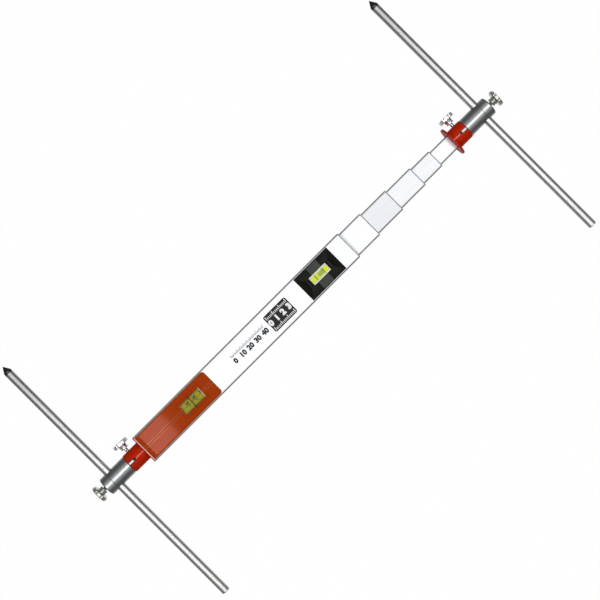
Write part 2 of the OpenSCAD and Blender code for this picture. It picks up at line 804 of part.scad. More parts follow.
// A thumb screw along +Z: thread from z = 0, then hub and fluted disc
module thumb_screw(shank) {
  c = knob_chamfer;
  disc_z = shank + hub_len;
  difference() {
    union() {
      cylinder(h = shank + c, r = thread_r - fit_gap);
      translate([0, 0, shank]) cylinder(h = c, r1 = hub_d / 2 - c, r2 = hub_d / 2);
      translate([0, 0, shank + c]) cylinder(h = hub_len, r = hub_d / 2);
      translate([0, 0, disc_z]) cylinder(h = c, r1 = disc_d / 2 - c, r2 = disc_d / 2);
      translate([0, 0, disc_z + c]) cylinder(h = disc_t - 2 * c, r = disc_d / 2);
      translate([0, 0, disc_z + disc_t - c])
        cylinder(h = c, r1 = disc_d / 2, r2 = disc_d / 2 - c);
    }
    for (i = [0:flutes - 1])
      rotate([0, 0, i * 360 / flutes])
        translate([disc_d / 2 + flute_r - flute_deep, 0, disc_z - past])
          cylinder(h = disc_t + 2 * past, r = flute_r, $fn = 24);
  }
}

// The thumb screw in the cap, which clamps the rod through its pad
module end_screw(side) {
  start = end_pad_at + pad_t;
  color("gainsboro") at_end(side) translate([start, 0, 0]) rotate([0, 90, 0])
    thumb_screw(head_out + end_neck - start);
}

module end_pad(side) {
  color("goldenrod") at_end(side) along_x(end_pad_at, pad_t, pad_r);
}

// The thumb screw in the collar, which clamps the spigot through its pad
module side_screw(side) {
  start = side_pad_at + pad_t;
  color("gainsboro") at_end(side) translate([-head_in - pin_in, start, 0])
    rotate([-90, 0, 0]) thumb_screw(collar_d / 2 + side_neck - start);
}

module side_pad(side) {
  color("goldenrod") at_end(side) translate([-head_in - pin_in, side_pad_at, 0])
    rotate([-90, 0, 0]) cylinder(h = pad_t, r = pad_r);
}

// The black tray let into the front chamber: sloping sides, flat bottom, end posts
module vial_tray() {
  color([0.1, 0.11, 0.1]) {
    difference() {
      block(tray_x0, tray_x0 + tray_len, tray_w, tray_low, front_z);
      pit(tray_x0 + tray_wall, tray_x0 + tray_len - tray_wall, tray_w - 2 * tray_wall,
        front_z + hair, tray_flat_len, tray_flat_w, tray_floor);
      block(tray_mid - cradle_len / 2, tray_mid + cradle_len / 2,
        tray_w - 2 * tray_wall, tray_floor, front_z + past);
    }
    for (side = [-1, 1])
      translate([tray_mid + side * (vial_len / 2 + post_gap + post_t / 2) - post_t / 2,
        -post_w / 2, tray_floor - tray_wall / 2])
        cube([post_t, post_w, post_h + tray_wall / 2]);
  }
}

// The grey cradle that clips across the tray and holds the vial's sides
module vial_cradle() {
  color([0.27, 0.28, 0.27]) difference() {
    block(tray_mid - cradle_len / 2, tray_mid + cradle_len / 2,
      tray_w - 2 * tray_wall, tray_floor, front_z - cradle_low);
    block(tray_mid - cradle_len / 2 - past, tray_mid + cradle_len / 2 + past, vial_w,
      tray_floor - past, front_z + past);
  }
}

// The clear vial block, hollow for the liquid
module vial_block() {
  color([0.95, 1, 0.9, 0.5]) difference() {
    block(tray_mid - vial_len / 2, tray_mid + vial_len / 2, vial_w, tray_floor, vial_top);
    vial_hollow();
  }
}

module vial_hollow() {
  block(tray_mid - vial_len / 2 + vial_wall, tray_mid + vial_len / 2 - vial_wall,
    fluid_w, fluid_low, fluid_top);
}

// The yellow-green liquid, less the bubble
module vial_liquid() {
  color([0.85, 0.95, 0.2, 0.8]) difference() {
    vial_hollow();
    bubble_shape(past);
  }
}

module bubble_shape(above) {
  half = (bubble_len - bubble_w) / 2;
  translate([tray_mid + bubble_off, 0, fluid_top - bubble_t])
    linear_extrude(bubble_t + above) {
      square([2 * half, bubble_w], center = true);
      for (side = [-1, 1])
        translate([side * half, 0]) circle(bubble_w / 2);
    }
}

// The air bubble
module vial_bubble() {
  color([0.7, 0.8, 0.4, 0.6]) bubble_shape(0);
}

// The two marks printed across the vial
module vial_marks() {
  color("black") for (side = [-1, 1])
    translate([side * mark_gap / 2, 0, 0])
      block(tray_mid - mark_w / 2, tray_mid + mark_w / 2, fluid_w,
        vial_top, vial_top + mark_t);
}

outer_tube();
housing_cover();
window_lens();
index_line();
tape_housing();
left_socket();
end_plate_screws();
drum_axle();
tape_guide_pins();
mainspring();
steel_tape();
mouth_bush(1);  // mouth_bush_1
vial_tray();
vial_cradle();
vial_block();
vial_liquid();
vial_bubble();
vial_marks();
tape_drum();
tape_coil();
sliding_tube(2);  // tube_2
sliding_tube(3);  // tube_3
sliding_tube(4);  // tube_4
sliding_tube(5);  // tube_5
sliding_tube(6);  // tube_6
mouth_bush(2);  // mouth_bush_2
mouth_bush(3);  // mouth_bush_3
mouth_bush(4);  // mouth_bush_4
mouth_bush(5);  // mouth_bush_5
tail_shoe(2);  // tail_shoe_2
tail_shoe(3);  // tail_shoe_3
tail_shoe(4);  // tail_shoe_4
tail_shoe(5);  // tail_shoe_5
tail_shoe(6);  // tail_shoe_6
right_socket();
tip_plug();
socket_bolt();
tape_anchor();
head(-1);  // left_head
head(1);  // right_head
head_cap(-1);  // left_head_cap
head_cap(1);  // right_head_cap
locating_pin(-1);  // left_locating_pin
locating_pin(1);  // right_locating_pin
cap_screws(-1);  // left_cap_screws
cap_screws(1);  // right_cap_screws
rod(-1);  // left_rod
rod(1);  // right_rod
tip(-1);  // left_tip
tip(1);  // right_tip
end_screw(-1);  // left_end_screw
end_screw(1);  // right_end_screw
end_pad(-1);  // left_end_pad
end_pad(1);  // right_end_pad
side_screw(-1);  // left_side_screw
side_screw(1);  // right_side_screw
side_pad(-1);  // left_side_pad
side_pad(1);  // right_side_pad
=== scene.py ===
import bpy
import bmesh
import json
from math import cos, pi, radians, sin, tan
from mathutils import Matrix, Vector

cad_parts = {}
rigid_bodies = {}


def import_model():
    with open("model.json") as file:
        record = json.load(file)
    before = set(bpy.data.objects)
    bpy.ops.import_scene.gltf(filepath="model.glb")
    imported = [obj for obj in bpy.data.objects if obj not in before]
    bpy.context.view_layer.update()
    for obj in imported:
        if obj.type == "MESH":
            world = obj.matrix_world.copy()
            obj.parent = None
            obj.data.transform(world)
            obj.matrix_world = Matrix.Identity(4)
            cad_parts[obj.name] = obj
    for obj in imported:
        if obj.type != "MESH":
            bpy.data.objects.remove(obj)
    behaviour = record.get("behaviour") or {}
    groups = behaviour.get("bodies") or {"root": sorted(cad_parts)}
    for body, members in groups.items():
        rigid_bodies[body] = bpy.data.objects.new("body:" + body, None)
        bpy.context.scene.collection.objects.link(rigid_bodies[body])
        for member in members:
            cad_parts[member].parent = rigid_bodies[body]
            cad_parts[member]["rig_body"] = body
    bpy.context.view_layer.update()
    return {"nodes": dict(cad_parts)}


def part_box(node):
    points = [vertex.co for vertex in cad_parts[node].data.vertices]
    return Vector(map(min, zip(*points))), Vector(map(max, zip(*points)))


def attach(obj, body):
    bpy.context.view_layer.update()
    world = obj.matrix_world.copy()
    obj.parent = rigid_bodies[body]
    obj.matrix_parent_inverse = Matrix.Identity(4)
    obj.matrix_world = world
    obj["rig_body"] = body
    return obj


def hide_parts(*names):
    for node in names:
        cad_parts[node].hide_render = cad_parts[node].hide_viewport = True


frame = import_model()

MM = 0.001


def colour(code):
    """An sRGB hex colour as linear red, green, blue and alpha."""
    parts = [int(code[i:i + 2], 16) / 255 for i in (0, 2, 4)]
    return [c / 12.92 if c <= 0.04045 else ((c + 0.055) / 1.055) ** 2.4 for c in parts] + [1]


def add(tree, kind, inputs=None, **settings):
    """Adds a node, makes its settings, and sets or links its inputs. A kind without the
    word Node is a shader node, and a node as an input stands for its first output in use."""
    node = tree.nodes.new(kind if "Node" in kind else "ShaderNode" + kind)
    for name, value in settings.items():
        setattr(node, name, value)
    for name, value in (inputs or {}).items():
        if isinstance(value, bpy.types.Node):
            value = next(output for output in value.outputs if output.enabled)
        if isinstance(value, bpy.types.NodeSocket):
            tree.links.new(value, node.inputs[name])
        else:
            node.inputs[name].default_value = value
    return node


def new_material(name):
    """A new material, its tree, and the place on the object that its patterns go by."""
    material = bpy.data.materials.new(name)
    material.use_nodes = True
    material.node_tree.nodes.clear()
    place = add(material.node_tree, "TexCoord").outputs["Object"]
    return material, material.node_tree, place


def new_object(name, mesh):
    """A new object at the origin that shows a mesh."""
    piece = bpy.data.objects.new(name, mesh)
    bpy.context.scene.collection.objects.link(piece)
    return piece


def from_shape(name, shape):
    """A new object at the origin, made from a bmesh."""
    mesh = bpy.data.meshes.new(name)
    shape.to_mesh(mesh)
    shape.free()
    return new_object(name, mesh)


camera_height = 1818 * MM
camera_foot = Vector((-1.3 * MM, -4.9 * MM, 0))
camera_roll = radians(0.04)
view_angle = radians(21.24)
sensor = 36
picture_right = Vector((cos(camera_roll - pi / 4), sin(camera_roll - pi / 4), 0))
picture_up = Vector((-picture_right.y, picture_right.x, 0))

camera_data = bpy.data.cameras.new("camera")
camera_data.sensor_width = sensor
camera_data.lens = sensor / 2 / tan(view_angle / 2)
camera_data.clip_end = 20
camera = new_object("camera", camera_data)
turn = Matrix((picture_right, picture_up, Vector((0, 0, 1)))).transposed().to_4x4()
camera.matrix_world = Matrix.Translation(camera_foot + Vector((0, 0, camera_height))) @ turn
bpy.context.scene.camera = camera
bpy.context.scene.view_settings.view_transform = "Standard"

# Matt paper, which gives an even white that fades to grey far from the gauge. What the
# camera or a mirroring surface sees of it is lit by itself; to the rest it is plain grey.
floor_drop = 0.6
floor_half = 6
white_radius = 0.68
grey_radius = 1.3
floor_shape = bmesh.new()
bmesh.ops.create_grid(floor_shape, x_segments=1, y_segments=1, size=floor_half)
bmesh.ops.translate(floor_shape, verts=floor_shape.verts, vec=(0, 0, -floor_drop))
floor = from_shape("floor", floor_shape)
floor_paper, tree, place = new_material("Matt studio paper")
flat = add(tree, "VectorMath", {0: place, 1: (1, 1, 0)}, operation="MULTIPLY")
reach = add(tree, "VectorMath", {0: flat}, operation="LENGTH")
fade = add(tree, "MapRange", {"Value": reach, "From Min": white_radius,
           "From Max": grey_radius}, interpolation_type="SMOOTHSTEP")
tone = add(tree, "Mix", {"Factor": fade, "A": colour("FFFFFF"), "B": colour("8C8C8C")},
           data_type="RGBA")
shaded_paper = add(tree, "BsdfDiffuse", {"Color": tone})
glow = add(tree, "Emission", {"Color": tone, "Strength": 1})
lit_paper = add(tree, "MixShader", {"Fac": 0.985, 1: shaded_paper, 2: glow})
grey_paper = add(tree, "BsdfDiffuse", {"Color": colour("7A7A7A")})
seen = add(tree, "LightPath").outputs
seen_or_mirrored = add(tree, "Math", {0: seen["Is Camera Ray"], 1: seen["Is Glossy Ray"]},
                       operation="MAXIMUM")
seen_at_all = add(tree, "Math", {0: seen_or_mirrored, 1: seen["Is Transmission Ray"]},
                  operation="MAXIMUM")
paper = add(tree, "MixShader", {"Fac": seen_at_all, 1: grey_paper, 2: lit_paper})
add(tree, "OutputMaterial", {"Surface": paper})
floor.data.materials.append(floor_paper)

# The room is bright overhead and dim at its walls. A soft box hangs high beyond either
# end of the gauge, so that gloss shows where a surface leans towards it.
room = bpy.data.worlds.new("studio")
bpy.context.scene.world = room
room.use_nodes = True
tree = room.node_tree
tree.nodes.clear()
height = add(tree, "SeparateXYZ", {0: add(tree, "TexCoord").outputs["Generated"]})
ceiling = add(tree, "MapRange", {"Value": height.outputs["Z"], "From Min": 0.42,
              "From Max": 0.97, "To Min": 0.18, "To Max": 0.88},
              interpolation_type="SMOOTHSTEP")
studio_air = add(tree, "Background", {"Color": colour("FFFFFF"), "Strength": ceiling})
add(tree, "OutputWorld", {"Surface": studio_air})

softbox_height = 1.8
softbox_side = -0.06
softbox_half_width = 0.25
softbox_power = 7.0
for name, near, far in (("left_softbox", -0.404, -0.72), ("right_softbox", 0.50, 0.80)):
    box_data = bpy.data.lights.new(name, "AREA")
    box_data.shape = "RECTANGLE"
    box_data.size = abs(far - near)
    box_data.size_y = 2 * softbox_half_width
    box_data.energy = softbox_power
    softbox = new_object(name, box_data)
    softbox.location = ((near + far) / 2, softbox_side, softbox_height)


# The outer tube: an aluminium extrusion with a chamber for the sliding sections and a
# shallow front chamber, sawn to length, its cut edges broken, then clear anodised.
def plain_mesh(piece):
    """The mesh that a piece shows, with its modifiers at work."""
    graph = bpy.context.evaluated_depsgraph_get()
    return bpy.data.meshes.new_from_object(piece.evaluated_get(graph))


def settled(piece):
    """Turns a piece with live modifiers into a plain mesh with none."""
    mesh = plain_mesh(piece)
    piece.modifiers.clear()
    piece.data = mesh
    return piece


def even_shading(piece, keep_sharp=False):
    """Shades a piece smooth, with its large faces kept flat."""
    for face in piece.data.polygons:
        face.use_smooth = True
    weighted = piece.modifiers.new("Even shading", "WEIGHTED_NORMAL")
    weighted.keep_sharp = keep_sharp
    return settled(piece)


def finish_piece(piece, body, slot_name, material, *nodes):
    """Gives a piece its material, says which body carries it, and hides the CAD nodes that it
    stands for.
    """
    piece.data.materials.clear()
    piece.data.materials.append(material)
    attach(piece, body)
    if nodes:
        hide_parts(*nodes)


def eased(node, width, slot_name, material, open_ends=False):
    """Shows a CAD piece with its sharp edges broken by a small rounding. Its flat faces
    are joined up first, other than on a piece whose open ends would leave holes in them."""
    shape = bmesh.new()
    shape.from_mesh(frame["nodes"][node].data)
    bmesh.ops.remove_doubles(shape, verts=shape.verts, dist=0.002 * MM)
    if not open_ends:
        bmesh.ops.dissolve_limit(shape, angle_limit=radians(0.5), verts=shape.verts,
                                 edges=shape.edges)
    piece = from_shape(node + "_eased", shape)
    bevel = piece.modifiers.new("Broken edges", "BEVEL")
    bevel.width = width
    bevel.segments = 2
    bevel.limit_method = "ANGLE"
    bevel.angle_limit = radians(31)
    bevel.use_clamp_overlap = False
    even_shading(piece)
    low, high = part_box(node)
    for vert in piece.data.vertices:
        vert.co = [min(max(c, a), b) for c, a, b in zip(vert.co, low, high)]
    finish_piece(piece, frame["nodes"][node]["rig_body"], slot_name, material, node)


def walls(shape, rings):
    """Faces between each ring of corners and the next."""
    for low, high in zip(rings, rings[1:]):
        for i in range(len(low)):
            j = (i + 1) % len(low)
            shape.faces.new((low[i], low[j], high[j], high[i]))


def stacked(rings):
    """A closed shape through rings of equal length, capped at both ends."""
    shape = bmesh.new()
    made = [[shape.verts.new(p) for p in ring] for ring in rings]
    walls(shape, made)
    shape.faces.new(made[0])
    shape.faces.new(made[-1])
    bmesh.ops.recalc_face_normals(shape, faces=shape.faces)
    return shape


def plate(name, outline, low, high):
    """A new flat piece: an outline drawn up from one height to another."""
    return from_shape(name, stacked([[(x, y, z) for x, y in outline] for z in (low, high)]))


def corner_arc(centre, radius, quarter, steps=8):
    """Points of a round corner, anticlockwise over one quarter of a circle."""
    x, y = centre
    angles = [pi / 2 * (quarter + i / steps) for i in range(steps + 1)]
    return [(x + radius * cos(angle), y + radius * sin(angle)) for angle in angles]


def silver_anodised(name, node, code, darker):
    """Aluminium, etched and clear anodised: a pale satin metal that keeps the faint
    lengthwise lines of the die and mirrors the room softly. Its rounded corners are
    painted a darker grey, as painted shade. The lines are drawn coarser than a die leaves
    them, so that they show."""
    die_line, line_long = 0.9 * MM, 90 * MM
    cloud_size = 45 * MM
    corner_shade_full, corner_shade_end = 1.0 * MM, 2.6 * MM
    material, tree, place = new_material(name)
    low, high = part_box(node)
    centred = add(tree, "VectorMath", {0: place, 1: (low + high) / 2}, operation="SUBTRACT")
    one_side = add(tree, "VectorMath", {0: centred}, operation="ABSOLUTE")
    from_corner = add(tree, "VectorMath", {0: one_side, 1: (high - low) / 2},
                      operation="SUBTRACT")
    across = add(tree, "VectorMath", {0: from_corner, 1: (0, 1, 1)}, operation="MULTIPLY")
    away = add(tree, "VectorMath", {0: across}, operation="LENGTH")
    corner_painted_shade = add(tree, "MapRange", {"Value": away, "From Min": corner_shade_full,
                 "From Max": corner_shade_end})
    line_scale = (1 / line_long, 1 / die_line, 1 / die_line)
    stretch = add(tree, "Mapping", {"Vector": place, "Scale": line_scale})
    lines = add(tree, "TexNoise", {"Vector": stretch, "Scale": 1, "Detail": 3,
                "Roughness": 0.6})
    cloud = add(tree, "TexNoise", {"Vector": place, "Scale": 1 / cloud_size, "Detail": 3,
                "Roughness": 0.6})
    both = add(tree, "Math", {0: lines, 1: cloud}, operation="ADD")
    shade = add(tree, "MapRange", {"Value": both, "From Min": 0.7, "From Max": 1.3})
    even = add(tree, "Mix", {"Factor": shade, "A": colour(code), "B": colour(darker)},
               data_type="RGBA")
    # Painted shade: towards the rounded corners the colour goes to a darker grey.
    tone = add(tree, "Mix", {"Factor": corner_painted_shade, "A": colour("8E908B"), "B": even},
               data_type="RGBA")
    rough = add(tree, "MapRange", {"Value": lines, "To Min": 0.5, "To Max": 0.58})
    shader = add(tree, "BsdfPrincipled", {"Base Color": tone, "Metallic": 0.6,
                 "Roughness": rough, "Specular IOR Level": 0.0})
    add(tree, "OutputMaterial", {"Surface": shader})
    return material


outer_silver = silver_anodised("Clear anodised extruded aluminium", "outer_tube", "EFF1F4",
                               "E9EBEE")
eased("outer_tube", 0.2 * MM, "clear_anodised", outer_silver, open_ends=True)
face_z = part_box("outer_tube")[1].z
cover_low, cover_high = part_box("housing_cover")
# Two thin webs round the right corners of the opening that the red cover lies in.
opening_radius = 3.8 * MM
opening_gap = 0.15 * MM
web_thick = 1 * MM
web_bite = 0.3 * MM
web_sunk = 0.01 * MM
tip = Vector((cover_high.x + opening_gap, cover_high.y + opening_gap))
centre = tip - Vector((opening_radius, opening_radius))
web_outline = [(tip.x + web_bite, tip.y + web_bite), (tip.x + web_bite, centre.y),
               *corner_arc(centre, opening_radius, 0), (centre.x, tip.y + web_bite)]
for side, end in ((-1, "front"), (1, "back")):
    web = plate("opening_corner_" + end, [(x, side * y) for x, y in web_outline],
                face_z - web_thick, face_z - web_sunk)
    finish_piece(web, "base", "clear_anodised", outer_silver)


# The printed panel and the printed scale on the tube's front face: screen printed in
# black and white ink, with plain rules and figures, each layer a few hundredths thick.
def making_tree(name, sizes, **others):
    """An empty Geometry Nodes tree, and the sockets of its named inputs: those of other
    kinds, its sizes, and its material."""
    tree = bpy.data.node_groups.new(name, "GeometryNodeTree")
    inputs = {**others, **dict.fromkeys(sizes, "Float"), "Material": "Material"}
    for label, kind in inputs.items():
        tree.interface.new_socket(name=label, in_out="INPUT", socket_type="NodeSocket" + kind)
    tree.interface.new_socket(name="Geometry", in_out="OUTPUT",
                              socket_type="NodeSocketGeometry")
    return tree, add(tree, "NodeGroupInput").outputs


def end_tree(tree, given, shape):
    """Ends a tree: what it makes becomes one real mesh with its material."""
    real = add(tree, "GeometryNodeRealizeInstances", {"Geometry": shape})
    done = add(tree, "GeometryNodeSetMaterial", {"Geometry": real,
               "Material": given["Material"]})
    add(tree, "NodeGroupOutput", {0: done})
    return tree


def graduation_tree():
    """A row of rule marks along Y, lying on a flat or wrapped round a cylinder."""
    tree, given = making_tree(
        "Graduations", ("Step", "Length", "Thickness", "Proud", "Short share", "Radius"),
        Count="Int", Every="Int", Wrapped="Bool")
    step = add(tree, "CombineXYZ", {"Y": given["Step"]})
    row = add(tree, "GeometryNodeMeshLine", {"Count": given["Count"], "Offset": step},
              mode="OFFSET")
    size = add(tree, "CombineXYZ", {"X": given["Length"], "Y": given["Thickness"],
               "Z": given["Proud"]})
    mark = add(tree, "GeometryNodeMeshCube", {"Size": size, "Vertices X": 5})
    half = add(tree, "Math", {0: given["Length"], 1: 0.5}, operation="MULTIPLY")
    foot = add(tree, "CombineXYZ", {"X": half})
    footed = add(tree, "GeometryNodeTransform", {"Geometry": mark, "Translation": foot})
    number = add(tree, "GeometryNodeInputIndex")
    rest = add(tree, "Math", {0: number, 1: given["Every"]}, operation="MODULO")
    is_long = add(tree, "Math", {0: rest, 1: 0.5}, operation="LESS_THAN")
    share = add(tree, "MapRange", {"Value": is_long, "To Min": given["Short share"],
                "To Max": 1})
    scale = add(tree, "CombineXYZ", {"X": share, "Y": 1, "Z": 1})
    placed = add(tree, "GeometryNodeInstanceOnPoints", {"Points": row, "Instance": footed,
                 "Scale": scale})
    real = add(tree, "GeometryNodeRealizeInstances", {"Geometry": placed})
    where = add(tree, "SeparateXYZ", {0: add(tree, "GeometryNodeInputPosition")})
    angle = add(tree, "Math", {0: where.outputs["X"], 1: given["Radius"]}, operation="DIVIDE")
    out = add(tree, "Math", {0: where.outputs["Z"], 1: given["Radius"]}, operation="ADD")
    upright = add(tree, "CombineXYZ", {"Y": where.outputs["Y"], "Z": out})
    turned = add(tree, "VectorRotate", {"Vector": upright, "Angle": angle},
                 rotation_type="Y_AXIS")
    wrapped = add(tree, "GeometryNodeSetPosition", {"Geometry": real,
                  "Selection": given["Wrapped"], "Position": turned})
    return end_tree(tree, given, wrapped)


def joined(name, *pieces):
    """One object made of the meshes of others, with every face turned out."""
    shape = bmesh.new()
    for piece in pieces:
        shape.from_mesh(piece.data)
        bpy.data.objects.remove(piece)
    bmesh.ops.remove_doubles(shape, verts=shape.verts, dist=0.001 * MM)
    bmesh.ops.recalc_face_normals(shape, faces=shape.faces)
    return from_shape(name, shape)


def grown(piece, tree, place, **sizes):
    """A plain mesh that a Geometry Nodes tree makes from these inputs, put in its place.
    A name starts a new piece, and a piece is what the tree works on."""
    if isinstance(piece, str):
        piece = new_object(piece, bpy.data.meshes.new(piece))
    modifier = piece.modifiers.new("Making", "NODES")
    modifier.node_group = tree
    for item in tree.interface.items_tree:
        label = item.name.replace(" ", "_").lower()
        if item.in_out == "INPUT" and label in sizes:
            modifier[item.identifier] = sizes[label]
    settled(piece)
    piece.data.transform(place)
    return joined(piece.name, piece)


def figure(text, size, proud, bold=0.0):
    """A plain figure as a thin closed mesh, centred on the origin, its foot on z = 0."""
    curve = bpy.data.curves.new("figure", "FONT")
    curve.body = text
    curve.size = size
    curve.align_x = "CENTER"
    curve.align_y = "CENTER"
    curve.resolution_u = 2
    curve.extrude = proud / 2
    curve.offset = bold
    drawn = new_object("figure", curve)
    mesh = plain_mesh(drawn)
    bpy.data.objects.remove(drawn)
    mesh.transform(Matrix.Translation((0, 0, proud / 2)))
    return joined("figure_" + text, new_object("outline", mesh))


def plate_outline(middle, length, width, radius):
    """Points of a round-cornered rectangle about its middle, anticlockwise."""
    points = []
    for quarter, (along, up) in enumerate(((1, 1), (-1, 1), (-1, -1), (1, -1))):
        x = middle.x + along * (length / 2 - radius)
        y = middle.y + up * (width / 2 - radius)
        points += corner_arc((x, y), radius, quarter, steps=5)
    return points


def mottled(name, code, other, size, detail, finish, ragged=0.5, rough=None, bump=None,
            clouds=None):
    """A finish that wanders between two shades in spots of a size in millimetres. Where it
    is given, rough is the least and most roughness that the spots give, bump the strength
    and depth of their relief, and clouds the larger size that the shades follow instead."""
    material, tree, place = new_material(name)
    spots = add(tree, "TexNoise", {"Vector": place, "Scale": 1 / (size * MM), "Detail": detail,
                "Roughness": ragged})
    shade = spots if not clouds else add(tree, "TexNoise", {
        "Vector": place, "Scale": 1 / (clouds * MM), "Detail": 2})
    tone = add(tree, "Mix", {"Factor": shade, "A": colour(code), "B": colour(other)},
               data_type="RGBA")
    surface = {"Base Color": tone, **finish}
    if rough:
        surface["Roughness"] = add(tree, "MapRange", {"Value": spots, "To Min": rough[0],
                                   "To Max": rough[1]})
    if bump:
        surface["Normal"] = add(tree, "Bump", {"Strength": bump[0], "Distance": bump[1] * MM,
                                "Height": spots})
    shader = add(tree, "BsdfPrincipled", surface)
    add(tree, "OutputMaterial", {"Surface": shader})
    return material


# Screen inks dry half-matt, a little uneven from the mesh. The mesh is drawn coarser than
# it is, so that it shows.
mesh_size = 0.8
black_ink = mottled("Black screen ink", "0E0E0F", "1B1B1C", mesh_size, 1,
                    {"Roughness": 0.45, "IOR": 1.5, "Specular IOR Level": 0.2})
white_ink = mottled("White screen ink", "FCFCFC", "F2F2F2", mesh_size, 1,
                    {"Roughness": 0.5, "IOR": 1.5})
ink_thick = 0.03 * MM
panel_mid = Vector((-28.7 * MM, -0.7 * MM, face_z))
panel_long, panel_wide = 34.2 * MM, 22.5 * MM
panel_corner = 2.2 * MM
panel = plate("printed_panel", plate_outline(panel_mid, panel_long, panel_wide, panel_corner),
              face_z - ink_thick, face_z + ink_thick)
finish_piece(panel, "base", "black_print", black_ink)
graduations = graduation_tree()


def flat_rule(name, start, ink, count, length, thickness, step=1 * MM, every=5, short=0.6,
              proud=ink_thick, along=1, up=1):
    """Rule marks on a flat face, in a row from a start point. along and up are 1 or -1:
    the way along X that the row runs, and along Y that its marks stand."""
    place = Matrix.Translation(start) @ Matrix(((0, along, 0), (up, 0, 0), (0, 0, 1))).to_4x4()
    return grown(name, graduations, place, count=count, step=step, length=length,
                 thickness=thickness, proud=proud, every=every, short_share=short,
                 radius=1.0, wrapped=False, material=ink)


def row_of_figures(texts, size, first, step, bold, proud=ink_thick):
    """Plain figures in a row, each at its own place."""
    pieces = []
    for i, text in enumerate(texts):
        mark = figure(text, size, proud, bold)
        mark.data.transform(Matrix.Translation(Vector(first) + i * Vector(step)))
        pieces.append(mark)
    return pieces


panel_first = panel_mid.x - 15 * MM
panel_marks = row_of_figures(
    ("0", "1", "2", "3"), size=9.6 * MM, step=(9.2 * MM, 0, 0), bold=0.65 * MM,
    first=(panel_first + 1.2 * MM, panel_mid.y - 0.1 * MM, face_z + ink_thick))
for name, above_mid in (("panel_rule", -9.9 * MM), ("panel_rule_top", 5.5 * MM)):
    panel_marks.append(flat_rule(
        name, (panel_first, panel_mid.y + above_mid, face_z + 1.5 * ink_thick), white_ink,
        count=16, step=2 * MM, length=4.4 * MM, thickness=0.85 * MM))
finish_piece(joined("panel_marks", *panel_marks), "base", "clear_anodised", white_ink)

strip_first = -102 * MM
strip_rule = flat_rule("strip_rule", (strip_first, 2.6 * MM, face_z), black_ink, count=51,
                       length=4.2 * MM, thickness=0.4 * MM)
strip_figures = row_of_figures(
    ("0", "10", "20", "30", "40"), size=8.4 * MM, step=(11.6 * MM, 0, 0), bold=0.5 * MM,
    first=(strip_first + 1.5 * MM, -2.6 * MM, face_z))
finish_piece(joined("strip_marks", strip_rule, *strip_figures), "base", "black_print",
             black_ink)


# The tape housing: one block moulded in black ABS inside the end of the tube, with the
# drum's steel axle and three polished pins pressed across it.
def moulded_abs(name, code, lighter, grain):
    """ABS from a spark-eroded mould: a fine even grain over a half-matt skin, which
    breaks up its highlights. The grain is drawn coarser than it is, so that it shows."""
    return mottled(name, code, lighter, grain, 3, {"IOR": 1.53, "Specular IOR Level": 0.13},
                   ragged=0.6, rough=(0.38, 0.58), bump=(0.5, 0.03), clouds=18)


def drawn_metal(name, code, darker, roughness, grain, axis, depth=0.004, painted_shade_share=0.0):
    """Bare metal with fine lines from drawing, turning or grinding across an axis, which
    stretch its highlights. The lines are drawn coarser than they are, so that they show.
    A painted shade may darken it towards +Y, by a share that is reached over a set length."""
    painted_shade_length = 180 * MM
    line_stretch = 14
    haze_size = 7 * MM
    material, tree, place = new_material(name)
    fine = 1 / (grain * MM)
    line_scale = [fine if letter == axis else fine / line_stretch for letter in "XYZ"]
    stretch = add(tree, "Mapping", {"Vector": place, "Scale": line_scale})
    lines = add(tree, "TexNoise", {"Vector": stretch, "Scale": 1, "Detail": 3,
                "Roughness": 0.65})
    haze = add(tree, "TexNoise", {"Vector": place, "Scale": 1 / haze_size, "Detail": 3,
               "Roughness": 0.6})
    both = add(tree, "Math", {0: lines, 1: haze}, operation="MULTIPLY")
    shade = add(tree, "MapRange", {"Value": both, "From Min": 0.1, "From Max": 0.42})
    tone = add(tree, "Mix", {"Factor": shade, "A": colour(darker), "B": colour(code)},
               data_type="RGBA")
    along = add(tree, "SeparateXYZ", {0: place})
    # Painted shade: the colour is mixed towards black along +Y.
    painted_shade_ramp = add(tree, "MapRange", {"Value": along.outputs["Y"], "From Min": 0,
                 "From Max": painted_shade_length, "To Min": 0, "To Max": painted_shade_share})
    with_painted_light = add(tree, "Mix", {"Factor": painted_shade_ramp, "A": tone, "B": colour("000000")},
               data_type="RGBA")
    rough = add(tree, "MapRange", {"Value": lines, "To Min": roughness * 0.85,
                "To Max": roughness * 1.2})
    bump = add(tree, "Bump", {"Strength": 0.3, "Distance": depth * MM, "Height": lines})
    shader = add(tree, "BsdfPrincipled", {"Base Color": with_painted_light, "Metallic": 1,
                 "Roughness": rough, "Normal": bump})
    add(tree, "OutputMaterial", {"Surface": shader})
    return material


def dress(material, *nodes):
    """Gives CAD nodes that stay in view their material."""
    for node in nodes:
        for held in frame["nodes"][node].material_slots:
            held.material = material


black_abs = moulded_abs("Moulded black ABS", "141516", "1D1E1F", 0.45)
dress(black_abs, "tape_housing")
polished_steel = drawn_metal("Polished steel pin", "C9CACC", "B3B4B7",
                             roughness=0.18, grain=0.2, axis="Y")
dress(polished_steel, "drum_axle", "tape_guide_pins")


# The drum and what is wound on it: a black ABS drum that turns on the axle, the wound
# steel tape round its hub, and the blued mainspring inside it, both spirals of thin strip.
def winding_tree(name, *section_sizes):
    """The start of a tree that winds a section along a spiral or a helix about Z."""
    return making_tree(name, ("Inner radius", "Outer radius", "Turns", "Height",
                              *section_sizes), Steps="Int")


def end_winding(tree, given, section):
    """Sweeps the section along the spiral, and ends the tree."""
    line = add(tree, "GeometryNodeCurveSpiral", {"Resolution": given["Steps"],
               "Rotations": given["Turns"], "Height": given["Height"],
               "Start Radius": given["Inner radius"], "End Radius": given["Outer radius"]})
    upright = add(tree, "GeometryNodeSetCurveNormal", {"Curve": line}, mode="Z_UP")
    swept = add(tree, "GeometryNodeCurveToMesh", {"Curve": upright, "Profile Curve": section,
                "Fill Caps": True})
    return end_tree(tree, given, swept)


dress(black_abs, "tape_drum")
